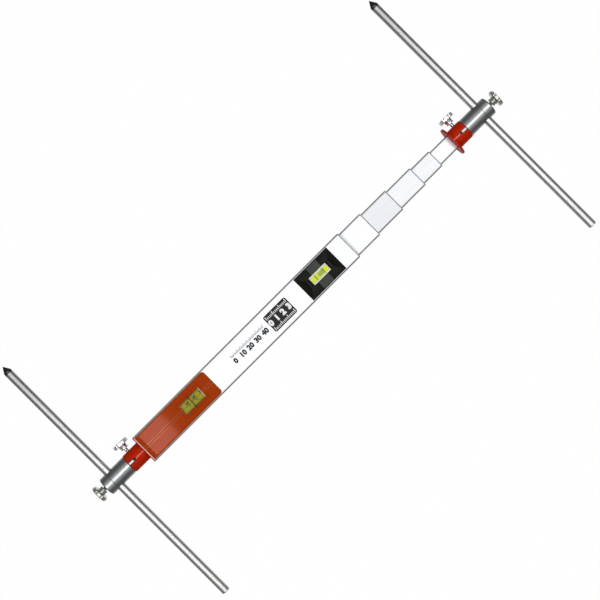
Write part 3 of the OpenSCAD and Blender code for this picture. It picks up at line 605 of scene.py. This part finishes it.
# Roller-coated lacquer: half-matt, with the low waves that the roller leaves.
yellow_lacquer = mottled("Yellow lacquer on steel tape", "ABA20E", "928B10", 6, 3,
                         {"Roughness": 0.5, "IOR": 1.5, "Specular IOR Level": 0.1},
                         ragged=0.6, bump=(0.2, 0.01))
blued_steel = drawn_metal("Blued spring steel", "3F4C68", "2B3446", roughness=0.25,
                          grain=0.3, axis="Y")

tree, given = winding_tree("Wound strip", "Strip thickness", "Strip width")
strip_section = add(tree, "GeometryNodeCurvePrimitiveQuadrilateral",
                    {"Width": given["Strip thickness"], "Height": given["Strip width"]})
wound_strip = end_winding(tree, given, strip_section)
drum_low, drum_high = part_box("tape_drum")
across_gauge = Matrix.Translation((drum_low + drum_high) / 2) @ Matrix.Rotation(pi / 2, 4, "X")
coil_low, coil_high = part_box("tape_coil")
tape_thick = 0.2 * MM
hub_radius = 8 * MM
coil_radius = (coil_high.z - coil_low.z) / 2
wound_tape = grown("wound_tape", wound_strip, across_gauge,
                   inner_radius=hub_radius + tape_thick, outer_radius=coil_radius - tape_thick,
                   turns=(coil_radius - hub_radius) / tape_thick - 2, steps=60, height=0.0,
                   strip_thickness=0.8 * tape_thick, strip_width=coil_high.y - coil_low.y,
                   material=yellow_lacquer)
finish_piece(even_shading(wound_tape), "drum", "yellow_tape", yellow_lacquer, "tape_coil")
spring_low, spring_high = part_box("mainspring")
spring_radius = (spring_high.z - spring_low.z) / 2
coiled_spring = grown("coiled_spring", wound_strip, across_gauge, inner_radius=1.8 * MM,
                      outer_radius=spring_radius - 0.2 * MM, turns=9, steps=48, height=0.0,
                      strip_thickness=0.25 * MM, strip_width=spring_high.y - spring_low.y,
                      material=blued_steel)
finish_piece(even_shading(coiled_spring), "base", "spring_steel", blued_steel, "mainspring")


# The free stretch of the steel tape: lacquered yellow and printed in black with
# millimetre marks along both edges, figures for the centimetres and a thin middle line.
def slab(name, low, high):
    """A plain layer between two opposite corners."""
    (x0, y0, z0), (x1, y1, z1) = low, high
    return plate(name, [(x0, y0), (x1, y0), (x1, y1), (x0, y1)], z0, z1)


dress(yellow_lacquer, "steel_tape")
tape_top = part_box("steel_tape")[1].z
index_low, index_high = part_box("index_line")
index_x = (index_low.x + index_high.x) / 2
lens_low, lens_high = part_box("window_lens")
tape_half = 6.5 * MM
reading = 588
visible_from = lens_low.x - 3 * MM
visible_to = lens_high.x + 3 * MM
first_mark = int((index_x - visible_to) / MM) + reading
last_mark = int((index_x - visible_from) / MM) + reading
first_mark += -first_mark % 10
mark_count = last_mark - first_mark
tape_start = index_x + (reading - first_mark) * MM
tape_ink = 0.02 * MM
ink_low, ink_high = tape_top - tape_ink / 2, tape_top + tape_ink / 2
tape_marks = [
    flat_rule("tape_" + edge, (tape_start, -up * tape_half, tape_top), black_ink, mark_count,
              length=3.4 * MM, thickness=0.42 * MM, every=10, short=0.5, proud=tape_ink,
              along=-1, up=up) for edge, up in (("upper", -1), ("lower", 1))]
centimetres = [first_mark // 10 + i for i in range((mark_count + 9) // 10)]
for texts, size, behind, y, bold in (
        ([str(cm) for cm in centimetres], 4.4 * MM, 3.2 * MM, 2.1 * MM, 0.2 * MM),
        ([str(cm % 10) for cm in centimetres], 3.2 * MM, 2.4 * MM, -1.9 * MM, 0.15 * MM)):
    tape_marks += row_of_figures(texts, size, (tape_start - behind, y, ink_low),
                                 (-10 * MM, 0, 0), bold, tape_ink)
middle_half = 0.22 * MM
tape_marks.append(slab("tape_middle_line", (visible_from, -middle_half, ink_low),
                       (visible_to, middle_half, ink_high)))
finish_piece(joined("tape_print", *tape_marks), "base", "black_print", black_ink)


# The red cover over the housing: pressed from aluminium sheet with rounded edges, a
# creased centre line and a mitred window, then lacquered orange-red to a hard gloss.
# A clear acrylic lens lies in the window, and the index line crosses it.
face = cover_high.z
lens_top = lens_high.z
left_band, right_band, side_band = 4.2 * MM, 1.1 * MM, 1.5 * MM
edge_drop = 0.5 * MM
left_dip = 0.45 * MM
near_radius, far_radius = 0.4 * MM, opening_radius - opening_gap
near_growth, far_loss = 1.2 * MM, 0.6 * MM


def cover_ring(share, z, ease=0.0):
    """The cover's outline, drawn in over its sloping bands by a share, at a height."""
    x0 = cover_low.x + share * left_band + ease
    x1 = cover_high.x - share * right_band - ease
    half = cover_high.y - share * side_band - ease
    near, far = near_radius + share * near_growth, far_radius - share * far_loss
    left_z = z - left_dip * (1 - share) if z > cover_low.z else z
    points = []
    for quarter, x, y, r, corner_z in (
            (0, x1 - far, half - far, far, z), (1, x0 + near, half - near, near, left_z),
            (2, x0 + near, near - half, near, left_z), (3, x1 - far, far - half, far, z)):
        points += [(px, py, corner_z) for px, py in corner_arc((x, y), r, quarter)]
    return points


def cut_loop(x0, x1, half, z):
    """A rectangle about the gauge's middle line, anticlockwise, at a height."""
    return [(x0, -half, z), (x1, -half, z), (x1, half, z), (x0, half, z)]


def loop_edges(shape, loop):
    """The edges round a closed loop of corners."""
    pairs = [(a, b) for a, b in zip(loop, loop[1:] + loop[:1])]
    return [shape.edges.get(pair) or shape.edges.new(pair) for pair in pairs]


edge_round, edge_ease = 0.15 * MM, 0.12 * MM
slope, sill_drop = 2.4 * MM, 0.35 * MM
groove_half, groove_deep = 0.5 * MM, 0.55 * MM
crease_half, crease_deep = 0.32 * MM, 0.35 * MM
crease_start, crease_stop = 1.05 * left_band + 0.1 * MM, 3 * MM
frame_wide = slope + 2 * groove_half
shape = bmesh.new()
outer = [[shape.verts.new(p) for p in ring] for ring in (
    cover_ring(0, cover_low.z), cover_ring(0, face - edge_drop - edge_round),
    cover_ring(0, face - edge_drop, edge_ease), cover_ring(0.9, face - 0.07 * MM),
    cover_ring(0.97, face - 0.02 * MM), cover_ring(1.05, face))]
holes = [[shape.verts.new(p) for p in cut_loop(lens_low.x - out, lens_high.x + out,
                                               lens_high.y + out, z)]
         for out, z in ((frame_wide, face), (slope + groove_half, face - groove_deep),
                        (slope, face - sill_drop), (0, lens_top), (0, cover_low.z))]
walls(shape, outer)
walls(shape, holes)
top_loops = [outer[-1], holes[0]]
crease_clear = frame_wide + 0.3 * MM
for x0, x1 in ((cover_low.x + crease_start, lens_low.x - crease_clear),
               (lens_high.x + crease_clear, cover_high.x - crease_stop)):
    mouth = [shape.verts.new(p) for p in cut_loop(x0, x1, crease_half, face)]
    floor_from, floor_to = [shape.verts.new((x, 0, face - crease_deep))
                            for x in (x0 + crease_deep, x1 - crease_deep)]
    shape.faces.new((mouth[0], mouth[1], floor_to, floor_from))
    shape.faces.new((mouth[2], mouth[3], floor_from, floor_to))
    shape.faces.new((mouth[1], mouth[2], floor_to))
    shape.faces.new((mouth[3], mouth[0], floor_from))
    top_loops.append(mouth)
for loops in (top_loops, [outer[0], holes[-1]]):
    bmesh.ops.triangle_fill(shape, use_beauty=True,
                            edges=sum([loop_edges(shape, loop) for loop in loops], []))
bmesh.ops.recalc_face_normals(shape, faces=shape.faces)
cover = from_shape("red_cover", shape)

# Sprayed gloss lacquer mirrors the room a little, over the low bumps of orange peel. A
# paler painted highlight runs along both edges of the crease, where the gloss is also raised,
# and painted shade darkens the crease itself.
cloud_size = 30 * MM
peel_size = 0.9 * MM
highlight_strip_y, highlight_strip_half = 1.1 * MM, 0.62 * MM
crease_shade_half = 0.45 * MM
red_lacquer, tree, place = new_material("Orange-red gloss lacquer on pressed aluminium")
cloud = add(tree, "TexNoise", {"Vector": place, "Scale": 1 / cloud_size, "Detail": 3,
            "Roughness": 0.55})
dust = add(tree, "TexNoise", {"Vector": place, "Scale": 1 / peel_size, "Detail": 2})
tone = add(tree, "Mix", {"Factor": cloud, "A": colour("A73B06"), "B": colour("9F3604")},
           data_type="RGBA")
across = add(tree, "SeparateXYZ", {0: place})
from_crease = add(tree, "Math", {0: across.outputs["Y"]}, operation="ABSOLUTE")
# Painted highlight: a paler strip along both sides of the crease, where the gloss is raised
# too.
highlight_and_gloss_strip = add(tree, "Math", {0: from_crease, 1: highlight_strip_y, 2: highlight_strip_half}, operation="COMPARE")
with_painted_light = add(tree, "Mix", {"Factor": highlight_and_gloss_strip, "A": tone, "B": colour("B04C22")}, data_type="RGBA")
# Painted shade: the crease itself is coloured darker.
in_crease = add(tree, "Math", {0: from_crease, 1: crease_shade_half}, operation="LESS_THAN")
with_crease_shade = add(tree, "Mix", {"Factor": in_crease, "A": with_painted_light, "B": colour("88300C")},
            data_type="RGBA")
rough = add(tree, "MapRange", {"Value": dust, "To Min": 0.03, "To Max": 0.07})
peel = add(tree, "Bump", {"Strength": 0.06, "Distance": 0.01 * MM, "Height": dust})
gloss = add(tree, "MapRange", {"Value": highlight_and_gloss_strip, "To Min": 0.115, "To Max": 0.2})
lacquer = add(tree, "BsdfPrincipled", {"Base Color": with_crease_shade, "Roughness": rough, "IOR": 1.5,
              "Specular IOR Level": gloss, "Specular Tint": colour("FFB8AC"), "Normal": peel})
add(tree, "OutputMaterial", {"Surface": lacquer})
cover.data.set_sharp_from_angle(angle=radians(6))
finish_piece(even_shading(cover, keep_sharp=True), "base", "red_cover", red_lacquer,
             "housing_cover")

# Polished acrylic: nearly all of it is clear, with a thin haze of rub marks in its gloss.
rub_size = 3 * MM
clear_acrylic, tree, place = new_material("Clear cast acrylic")
rub = add(tree, "TexNoise", {"Vector": place, "Scale": 1 / rub_size, "Detail": 3})
rough = add(tree, "MapRange", {"Value": rub, "To Min": 0.03, "To Max": 0.1})
clear = add(tree, "BsdfPrincipled", {"Base Color": colour("DDE6C8"), "Roughness": rough,
            "IOR": 1.49, "Specular IOR Level": 0.1, "Alpha": 0.015})
add(tree, "OutputMaterial", {"Surface": clear})
eased("window_lens", 0.08 * MM, "clear_lens", clear_acrylic)
# Blasted acrylic scatters the light and looks white. The pits are drawn coarser than the
# beads leave them, so that they show.
frosted_acrylic = mottled("Frosted acrylic, bead blasted", "F4F6EA", "E6EAD8", 0.4, 3,
                          {"Roughness": 0.5, "IOR": 1.49}, bump=(0.4, 0.02))
# Pad-printed ink, which dries flat and dark on the lens and the frame.
red_ink = mottled("Dark red printed line", "6A0F08", "54100A", mesh_size, 1,
                  {"Roughness": 0.4, "IOR": 1.5, "Specular IOR Level": 0.05})

line_half = 0.4 * MM
line_thick = 0.03 * MM
line_path = [(-lens_high.y - slope, face - sill_drop), (-lens_high.y, lens_top),
             (lens_high.y, lens_top), (lens_high.y + slope, face - sill_drop)]
line_parts = []
for (y0, z0), (y1, z1) in zip(line_path, line_path[1:]):
    line_parts.append(from_shape("index_part", stacked(
        [[(x, y0, z0 - line_thick), (x, y1, z1 - line_thick), (x, y1, z1 + line_thick),
          (x, y0, z0 + line_thick)] for x in (index_x - line_half, index_x + line_half)])))
finish_piece(joined("painted_index_line", *line_parts), "base", "index_red", red_ink,
             "index_line")

sawn_end, sawn_inset, sawn_deep = 0.35 * MM, 0.3 * MM, 0.6 * MM
lens_end = slab("lens_sawn_end",
                (lens_high.x - sawn_end, lens_low.y + sawn_inset, lens_top - sawn_deep),
                (lens_high.x, lens_high.y - sawn_inset, lens_top + 0.01 * MM))
finish_piece(lens_end, "base", "clear_lens", frosted_acrylic)


# The red socket on the fixed end: a square plate with a collar, turned and milled from
# aluminium, its edges chamfered, anodised red and held by four countersunk screws.
turning_line, turning_long = 0.35 * MM, 6 * MM
plate_highlight_x, plate_highlight_half = -243.85 * MM, 0.45 * MM
# The dye is deep and even under a thin clear gloss. A painted highlight, a nearly white
# strip, runs along the plate's top edge. The turning lines are drawn coarser, so that they
# show.
red_anodised, tree, place = new_material("Red anodised aluminium")
turning_scale = (1 / turning_line, 1 / turning_long, 1 / turning_long)
stretch = add(tree, "Mapping", {"Vector": place, "Scale": turning_scale})
turning = add(tree, "TexNoise", {"Vector": stretch, "Scale": 1, "Detail": 2})
dye = add(tree, "Mix", {"Factor": turning, "A": colour("BD2500"), "B": colour("B22100")},
          data_type="RGBA")
along = add(tree, "SeparateXYZ", {0: place})
# Painted highlight: a nearly white strip along the plate's top edge.
plate_highlight = add(tree, "Math", {0: along.outputs["X"], 1: plate_highlight_x, 2: plate_highlight_half},
              operation="COMPARE")
tone = add(tree, "Mix", {"Factor": plate_highlight, "A": dye, "B": colour("CDB6B2")}, data_type="RGBA")
bump = add(tree, "Bump", {"Strength": 0.15, "Distance": 0.004 * MM, "Height": turning})
dyed = add(tree, "BsdfPrincipled", {"Base Color": tone, "Metallic": 0.1, "Roughness": 0.36,
           "Specular IOR Level": 0.0, "Coat Weight": 0.18, "Coat Roughness": 0.06,
           "Normal": bump})
add(tree, "OutputMaterial", {"Surface": dyed})
eased("left_socket", 0.9 * MM, "red_anodised", red_anodised)
zinc_steel = drawn_metal("Zinc-plated screw steel", "BFC1C3", "9EA1A4", roughness=0.28,
                         grain=0.3, axis="X")
dress(zinc_steel, "end_plate_screws")


# The telescope: five square tubes of drawn and anodised aluminium, each with a grey
# acetal bush in its mouth and a black guide shoe round its hidden tail.
for k, code, darker in ((2, "EFF1F4", "E9EBEE"), (3, "DFE1E4", "D9DBDF"),
                        (4, "E6E8EB", "E1E3E6"), (5, "E5E7EA", "E0E2E5"),
                        (6, "EFF1F4", "E9EBEE")):
    node = "tube_%d" % k
    metal = silver_anodised("Clear anodised drawn aluminium, tube %d" % k, node, code, darker)
    eased(node, 0.15 * MM, "grey_anodised" if k == 3 else "clear_anodised", metal)
# Moulded acetal has a waxy, half-matt skin.
grey_acetal = mottled("Moulded grey acetal", "989A9B", "8C8E90", 0.6, 2,
                      {"Roughness": 0.42, "IOR": 1.48}, bump=(0.3, 0.02))
for k in range(1, 6):
    eased("mouth_bush_%d" % k, 0.22 * MM, "grey_bush", grey_acetal, open_ends=True)
dress(black_abs, *["tail_shoe_%d" % k for k in range(2, 7)])


# The red socket on the telescoping end: a round flange and collar turned from one bar,
# bolted through its floor to an aluminium plug, with the tape's anchor in the tube's tail.
eased("right_socket", 0.4 * MM, "red_anodised", red_anodised)
milled_aluminium = drawn_metal("Milled aluminium", "C6C7C9", "B1B2B5", roughness=0.3,
                               grain=0.4, axis="X")
dress(milled_aluminium, "tip_plug", "tape_anchor")
black_steel = drawn_metal("Blackened screw steel", "2C2D2E", "1B1C1D", roughness=0.35,
                          grain=0.3, axis="X")
dress(black_steel, "socket_bolt")


# The level by the mouth: a black tray let into the front chamber, a dark grey cradle
# across it and a clear acrylic vial whose long sides are left frosted, with dyed liquid
# and its bubble.
tray_black = moulded_abs("Moulded black ABS tray", "0D1009", "14170F", 0.5)
eased("vial_tray", 0.25 * MM, "black_moulding", tray_black)
cradle_grey = moulded_abs("Moulded dark grey ABS cradle", "3A3D3A", "434643", 0.5)
eased("vial_cradle", 0.3 * MM, "black_moulding", cradle_grey)
# The dye glows through the acrylic, so the liquid is as bright as a lacquer.
dyed_liquid = mottled("Dyed level liquid", "E4F538", "D2E23A", 9, 1,
                      {"Roughness": 0.12, "IOR": 1.4, "Specular IOR Level": 0.1})
eased("vial_liquid", 0.5 * MM, "vial_liquid", dyed_liquid)

# The bubble bends the light most at its rim, which looks dark: that shade is painted into its
# colour, darker where the surface turns away from the view.
air_bubble, tree = new_material("Air bubble in dyed liquid")[:2]
rim_painted_shade = add(tree, "LayerWeight", {"Blend": 0.35})
tone = add(tree, "Mix", {"Factor": rim_painted_shade.outputs["Facing"], "A": colour("A9B956"),
           "B": colour("6F7C24")}, data_type="RGBA")
bubble = add(tree, "BsdfPrincipled", {"Base Color": tone, "Roughness": 0.08, "IOR": 1.33})
add(tree, "OutputMaterial", {"Surface": bubble})
eased("vial_bubble", 0.55 * MM, "vial_air", air_bubble)
dress(black_ink, "vial_marks")

vial_low, vial_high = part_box("vial_block")
fluid_low, fluid_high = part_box("vial_liquid")
vial_corner = 0.6 * MM
vial_ease = 0.3 * MM
vial_mid = (vial_low + vial_high) / 2
vial_rings = [
    [(x, y, vial_high.z - drop) for x, y in plate_outline(
        vial_mid, vial_high.x - vial_low.x - 2 * inset, vial_high.y - vial_low.y - 2 * inset,
        vial_corner)]
    for inset, drop in ((0, vial_high.z - vial_low.z), (0, vial_ease),
                        (0.3 * vial_ease, 0.3 * vial_ease), (vial_ease, 0))]
vial_body = from_shape("vial_body", stacked(vial_rings))
vial_hollow = slab("vial_hollow", fluid_low, (fluid_high.x, fluid_high.y, vial_high.z + 1 * MM))
bored = vial_body.modifiers.new("Liquid space", "BOOLEAN")
bored.operation = "DIFFERENCE"
bored.solver = "EXACT"
bored.object = vial_hollow
settled(vial_body)
bpy.data.objects.remove(vial_hollow)
finish_piece(even_shading(vial_body), "base", "vial_acrylic", frosted_acrylic, "vial_block")
window_gap = 0.02 * MM
vial_window = slab("vial_window", (fluid_low.x, fluid_low.y, fluid_high.z + window_gap),
                   (fluid_high.x, fluid_high.y, vial_high.z))
finish_piece(vial_window, "base", "vial_acrylic", clear_acrylic)


# The pointer heads: turned from aluminium bar and clear anodised, split at the rod's
# bore and held by two black socket screws, with a steel pin that locates the spigot.
turned_aluminium = drawn_metal("Turned and clear anodised aluminium", "9FA1A2", "949697",
                               roughness=0.34, grain=0.5, axis="X", depth=0.002)
for side in ("left", "right"):
    eased(side + "_head", 0.4 * MM, "turned_head", turned_aluminium)
    eased(side + "_head_cap", 0.4 * MM, "turned_head", turned_aluminium)
    eased(side + "_locating_pin", 0.2 * MM, "dark_steel", black_steel)
    dress(black_steel, side + "_cap_screws")


# The pointer rods: ground stainless bar with a dull finish, with painted shade that darkens
# them towards the points, graduated in centimetres and half centimetres by etching, each
# with a hardened and blackened point screwed in.
# The last share given here is painted shade, which darkens the rods towards their points.
ground_steel = drawn_metal("Ground stainless steel", "C2C3C1", "BABBB9", roughness=0.4,
                           grain=0.5, axis="Y", depth=0.001, painted_shade_share=0.26)
hard_black = drawn_metal("Hardened blackened tool steel", "4C524D", "363B37",
                         roughness=0.34, grain=0.25, axis="Y")
# Etching leaves a matt grey that doesn't mirror as the ground steel round it does.
etched = mottled("Etched grey mark", "94948F", "A3A39E", 0.3, 2, {"Roughness": 0.6, "IOR": 1.5})

etch_proud = 0.03 * MM
rod_radius = 5 * MM
first_cm, last_cm = 2, 35
tick_turn = -radians(40)
number_size = 2.4 * MM
number_aside = 2.9 * MM
for side in ("left", "right"):
    dress(ground_steel, side + "_rod")
    dress(hard_black, side + "_tip")
    rod_low, rod_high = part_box(side + "_rod")
    tip_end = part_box(side + "_tip")[1].y
    rod_x = (rod_low.x + rod_high.x) / 2
    last_mark_place = Matrix.Translation((rod_x, tip_end - last_cm * 10 * MM, 0))
    marks = [grown(side + "_rod_ticks", graduations,
                   last_mark_place @ Matrix.Rotation(tick_turn, 4, "Y"),
                   count=2 * (last_cm - first_cm) + 1, step=5 * MM, length=2.4 * MM,
                   thickness=0.3 * MM, proud=etch_proud, every=2, short_share=0.6,
                   radius=rod_radius, wrapped=True, material=etched)]
    for cm in range(first_cm, last_cm + 1):
        number = figure(str(cm), number_size, etch_proud)
        y = tip_end - cm * 10 * MM
        for vert in number.data.vertices:
            angle = (vert.co.x + number_aside) / rod_radius
            reach = rod_radius + vert.co.z - etch_proud / 2
            vert.co = (rod_x + reach * sin(angle), y + vert.co.y, reach * cos(angle))
        marks.append(number)
    finish_piece(joined(side + "_rod_marks", *marks), side + "_pointer_rod", "black_print",
                 etched)


# The thumb screws: turned from steel and nickel plated, with a hub, a fluted disc that
# is dished on its face, and a rolled M5 thread that ends in a loose brass pad.
def lathe(profile, steps):
    """A closed shape turned about Z from (radius, height) points in millimetres, lowest
    first, the first and the last of them on the axis."""
    shape = bmesh.new()
    circle = [(cos(2 * pi * i / steps), sin(2 * pi * i / steps)) for i in range(steps)]
    rings = [[shape.verts.new((radius * x * MM, radius * y * MM, z * MM)) for x, y in circle]
             for radius, z in profile[1:-1]]
    walls(shape, rings)
    for (_, z), ring in ((profile[0], rings[0]), (profile[-1], rings[-1])):
        pole = shape.verts.new((0, 0, z * MM))
        for a, b in zip(ring, ring[1:] + ring[:1]):
            shape.faces.new((a, b, pole))
    bmesh.ops.recalc_face_normals(shape, faces=shape.faces)
    return shape


def flute_tree():
    """Rounded flutes pressed into the rim of a turned disc about Z."""
    tree, given = making_tree("Flutes", ("Count", "Depth", "Rim radius"), Blank="Geometry")
    where = add(tree, "SeparateXYZ", {0: add(tree, "GeometryNodeInputPosition")})
    x, y = where.outputs["X"], where.outputs["Y"]
    flat = add(tree, "CombineXYZ", {"X": x, "Y": y})
    radius = add(tree, "VectorMath", {0: flat}, operation="LENGTH")
    angle = add(tree, "Math", {0: y, 1: x}, operation="ARCTAN2")
    turns = add(tree, "Math", {0: angle, 1: given["Count"]}, operation="MULTIPLY")
    wave = add(tree, "Math", {0: turns}, operation="COSINE")
    dip = add(tree, "MapRange", {"Value": wave, "From Min": 0.0, "From Max": 1},
              interpolation_type="SMOOTHERSTEP")
    ratio = add(tree, "Math", {0: radius, 1: given["Rim radius"]}, operation="DIVIDE")
    near_rim = add(tree, "MapRange", {"Value": ratio, "From Min": 0.84, "From Max": 0.93,
                   "To Min": 0, "To Max": -1})
    sunk = add(tree, "Math", {0: dip, 1: near_rim}, operation="MULTIPLY")
    deep = add(tree, "Math", {0: sunk, 1: given["Depth"]}, operation="MULTIPLY")
    outwards = add(tree, "VectorMath", {0: flat}, operation="NORMALIZE")
    shift = add(tree, "VectorMath", {0: outwards, "Scale": deep}, operation="SCALE")
    pressed = add(tree, "GeometryNodeSetPosition", {"Geometry": given["Blank"],
                  "Offset": shift})
    return end_tree(tree, given, pressed)


# A thin nickel plate, tumbled to a satin, is bright and soft-edged in what it mirrors,
# with faint clouds from the tumbling. The end screws get a greyer, darker plate.
nickel_of = {}
for use, name, code, darker, metallic in (
        ("end", "Greyer nickel plate for the end screws", "C4C7BE", "ABAFA6", 0.9),
        ("side", "Bright satin nickel plate", "F6F6F8", "EAEAEC", 0.95)):
    finish = {"Metallic": metallic, "Specular IOR Level": 0.2}
    nickel_of[use] = mottled(name, code, darker, 1.5, 3, finish, rough=(0.2, 0.3))
brass = drawn_metal("Turned brass", "C79A4A", "A87F38", roughness=0.3, grain=0.2, axis="X")
flutes = flute_tree()
tree, given = winding_tree("Rolled thread", "Tooth radius")
diamond = add(tree, "GeometryNodeCurvePrimitiveCircle", {"Resolution": 4,
              "Radius": given["Tooth radius"]}, mode="RADIUS")
rolled_thread = end_winding(tree, given, diamond)

# The screw's sizes are in millimetres. Steps are given in from the hub or the rim, and
# up from the foot of the hub or the face of the disc.
thread_radius, core_radius, pitch = 2.45, 2.0, 0.8
tooth_radius = 0.48 * pitch
thread_start = 0.6
screw_hub_radius, hub_long, hub_ease = 5, 5.2, 0.25
hub_steps = ((0.5, 0), (0.12, 0.15), (0, 0.5), (0, 1.5), (0.5, 1.9), (0.5, 2.6), (0, 3.0))
disc_radius, disc_thick, chamfer = 9.95, 4.8, 0.7
rim_steps = ((chamfer + 0.2, 0), (chamfer, 0.06), (0.15, chamfer - 0.15),
             (0, chamfer + 0.15))
lip_radius, dish_slope, dish_deep = disc_radius - 2.2, 0.6, 0.45
dish_flat, centre_radius, centre_deep = 2.0, 0.7, 0.3
flute_count, flute_deep = 16, 0.3
for side, outward in (("left", Vector((-1, 0, 0))), ("right", Vector((1, 0, 0)))):
    for use, axis in (("end", outward), ("side", Vector((0, 1, 0)))):
        node = "%s_%s_screw" % (side, use)
        low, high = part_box(node)
        reach = (high - low).dot(Vector([abs(c) for c in axis]))
        foot = (low + high) / 2 - axis * reach / 2
        place = Matrix.Translation(foot) @ axis.to_track_quat("Z", "Y").to_matrix().to_4x4()
        top = reach / MM
        hub_top = top - disc_thick
        shank = hub_top - hub_long
        dish_z = top - dish_deep
        profile = [(0, 0), (core_radius, 0), (core_radius, shank)]
        profile += [(screw_hub_radius - inset, shank + up) for inset, up in hub_steps]
        profile += [(screw_hub_radius, hub_top - hub_ease),
                    (screw_hub_radius + hub_ease, hub_top)]
        profile += [(disc_radius - inset, hub_top + up) for inset, up in rim_steps]
        profile += [(disc_radius - inset, top - up) for inset, up in reversed(rim_steps)]
        profile += [(lip_radius, top), (lip_radius - dish_slope, dish_z),
                    (dish_flat, dish_z), (centre_radius, dish_z), (0, dish_z - centre_deep)]
        blank = grown(from_shape(node + "_blank", lathe(profile, flute_count * 12)), flutes,
                      place, count=float(flute_count), depth=flute_deep * MM,
                      rim_radius=disc_radius * MM, material=nickel_of[use])
        turns = (shank - 2 * thread_start) / pitch
        thread = grown(node + "_thread", rolled_thread,
                       place @ Matrix.Translation((0, 0, thread_start * MM)),
                       inner_radius=(thread_radius - tooth_radius) * MM,
                       outer_radius=(thread_radius - tooth_radius) * MM, turns=turns, steps=24,
                       height=turns * pitch * MM, tooth_radius=tooth_radius * MM,
                       material=nickel_of[use])
        screw = joined(node + "_turned", blank, thread)
        finish_piece(even_shading(screw), node, "nickel_screw", nickel_of[use], node)
        eased("%s_%s_pad" % (side, use), 0.15 * MM, "brass_pad", brass)
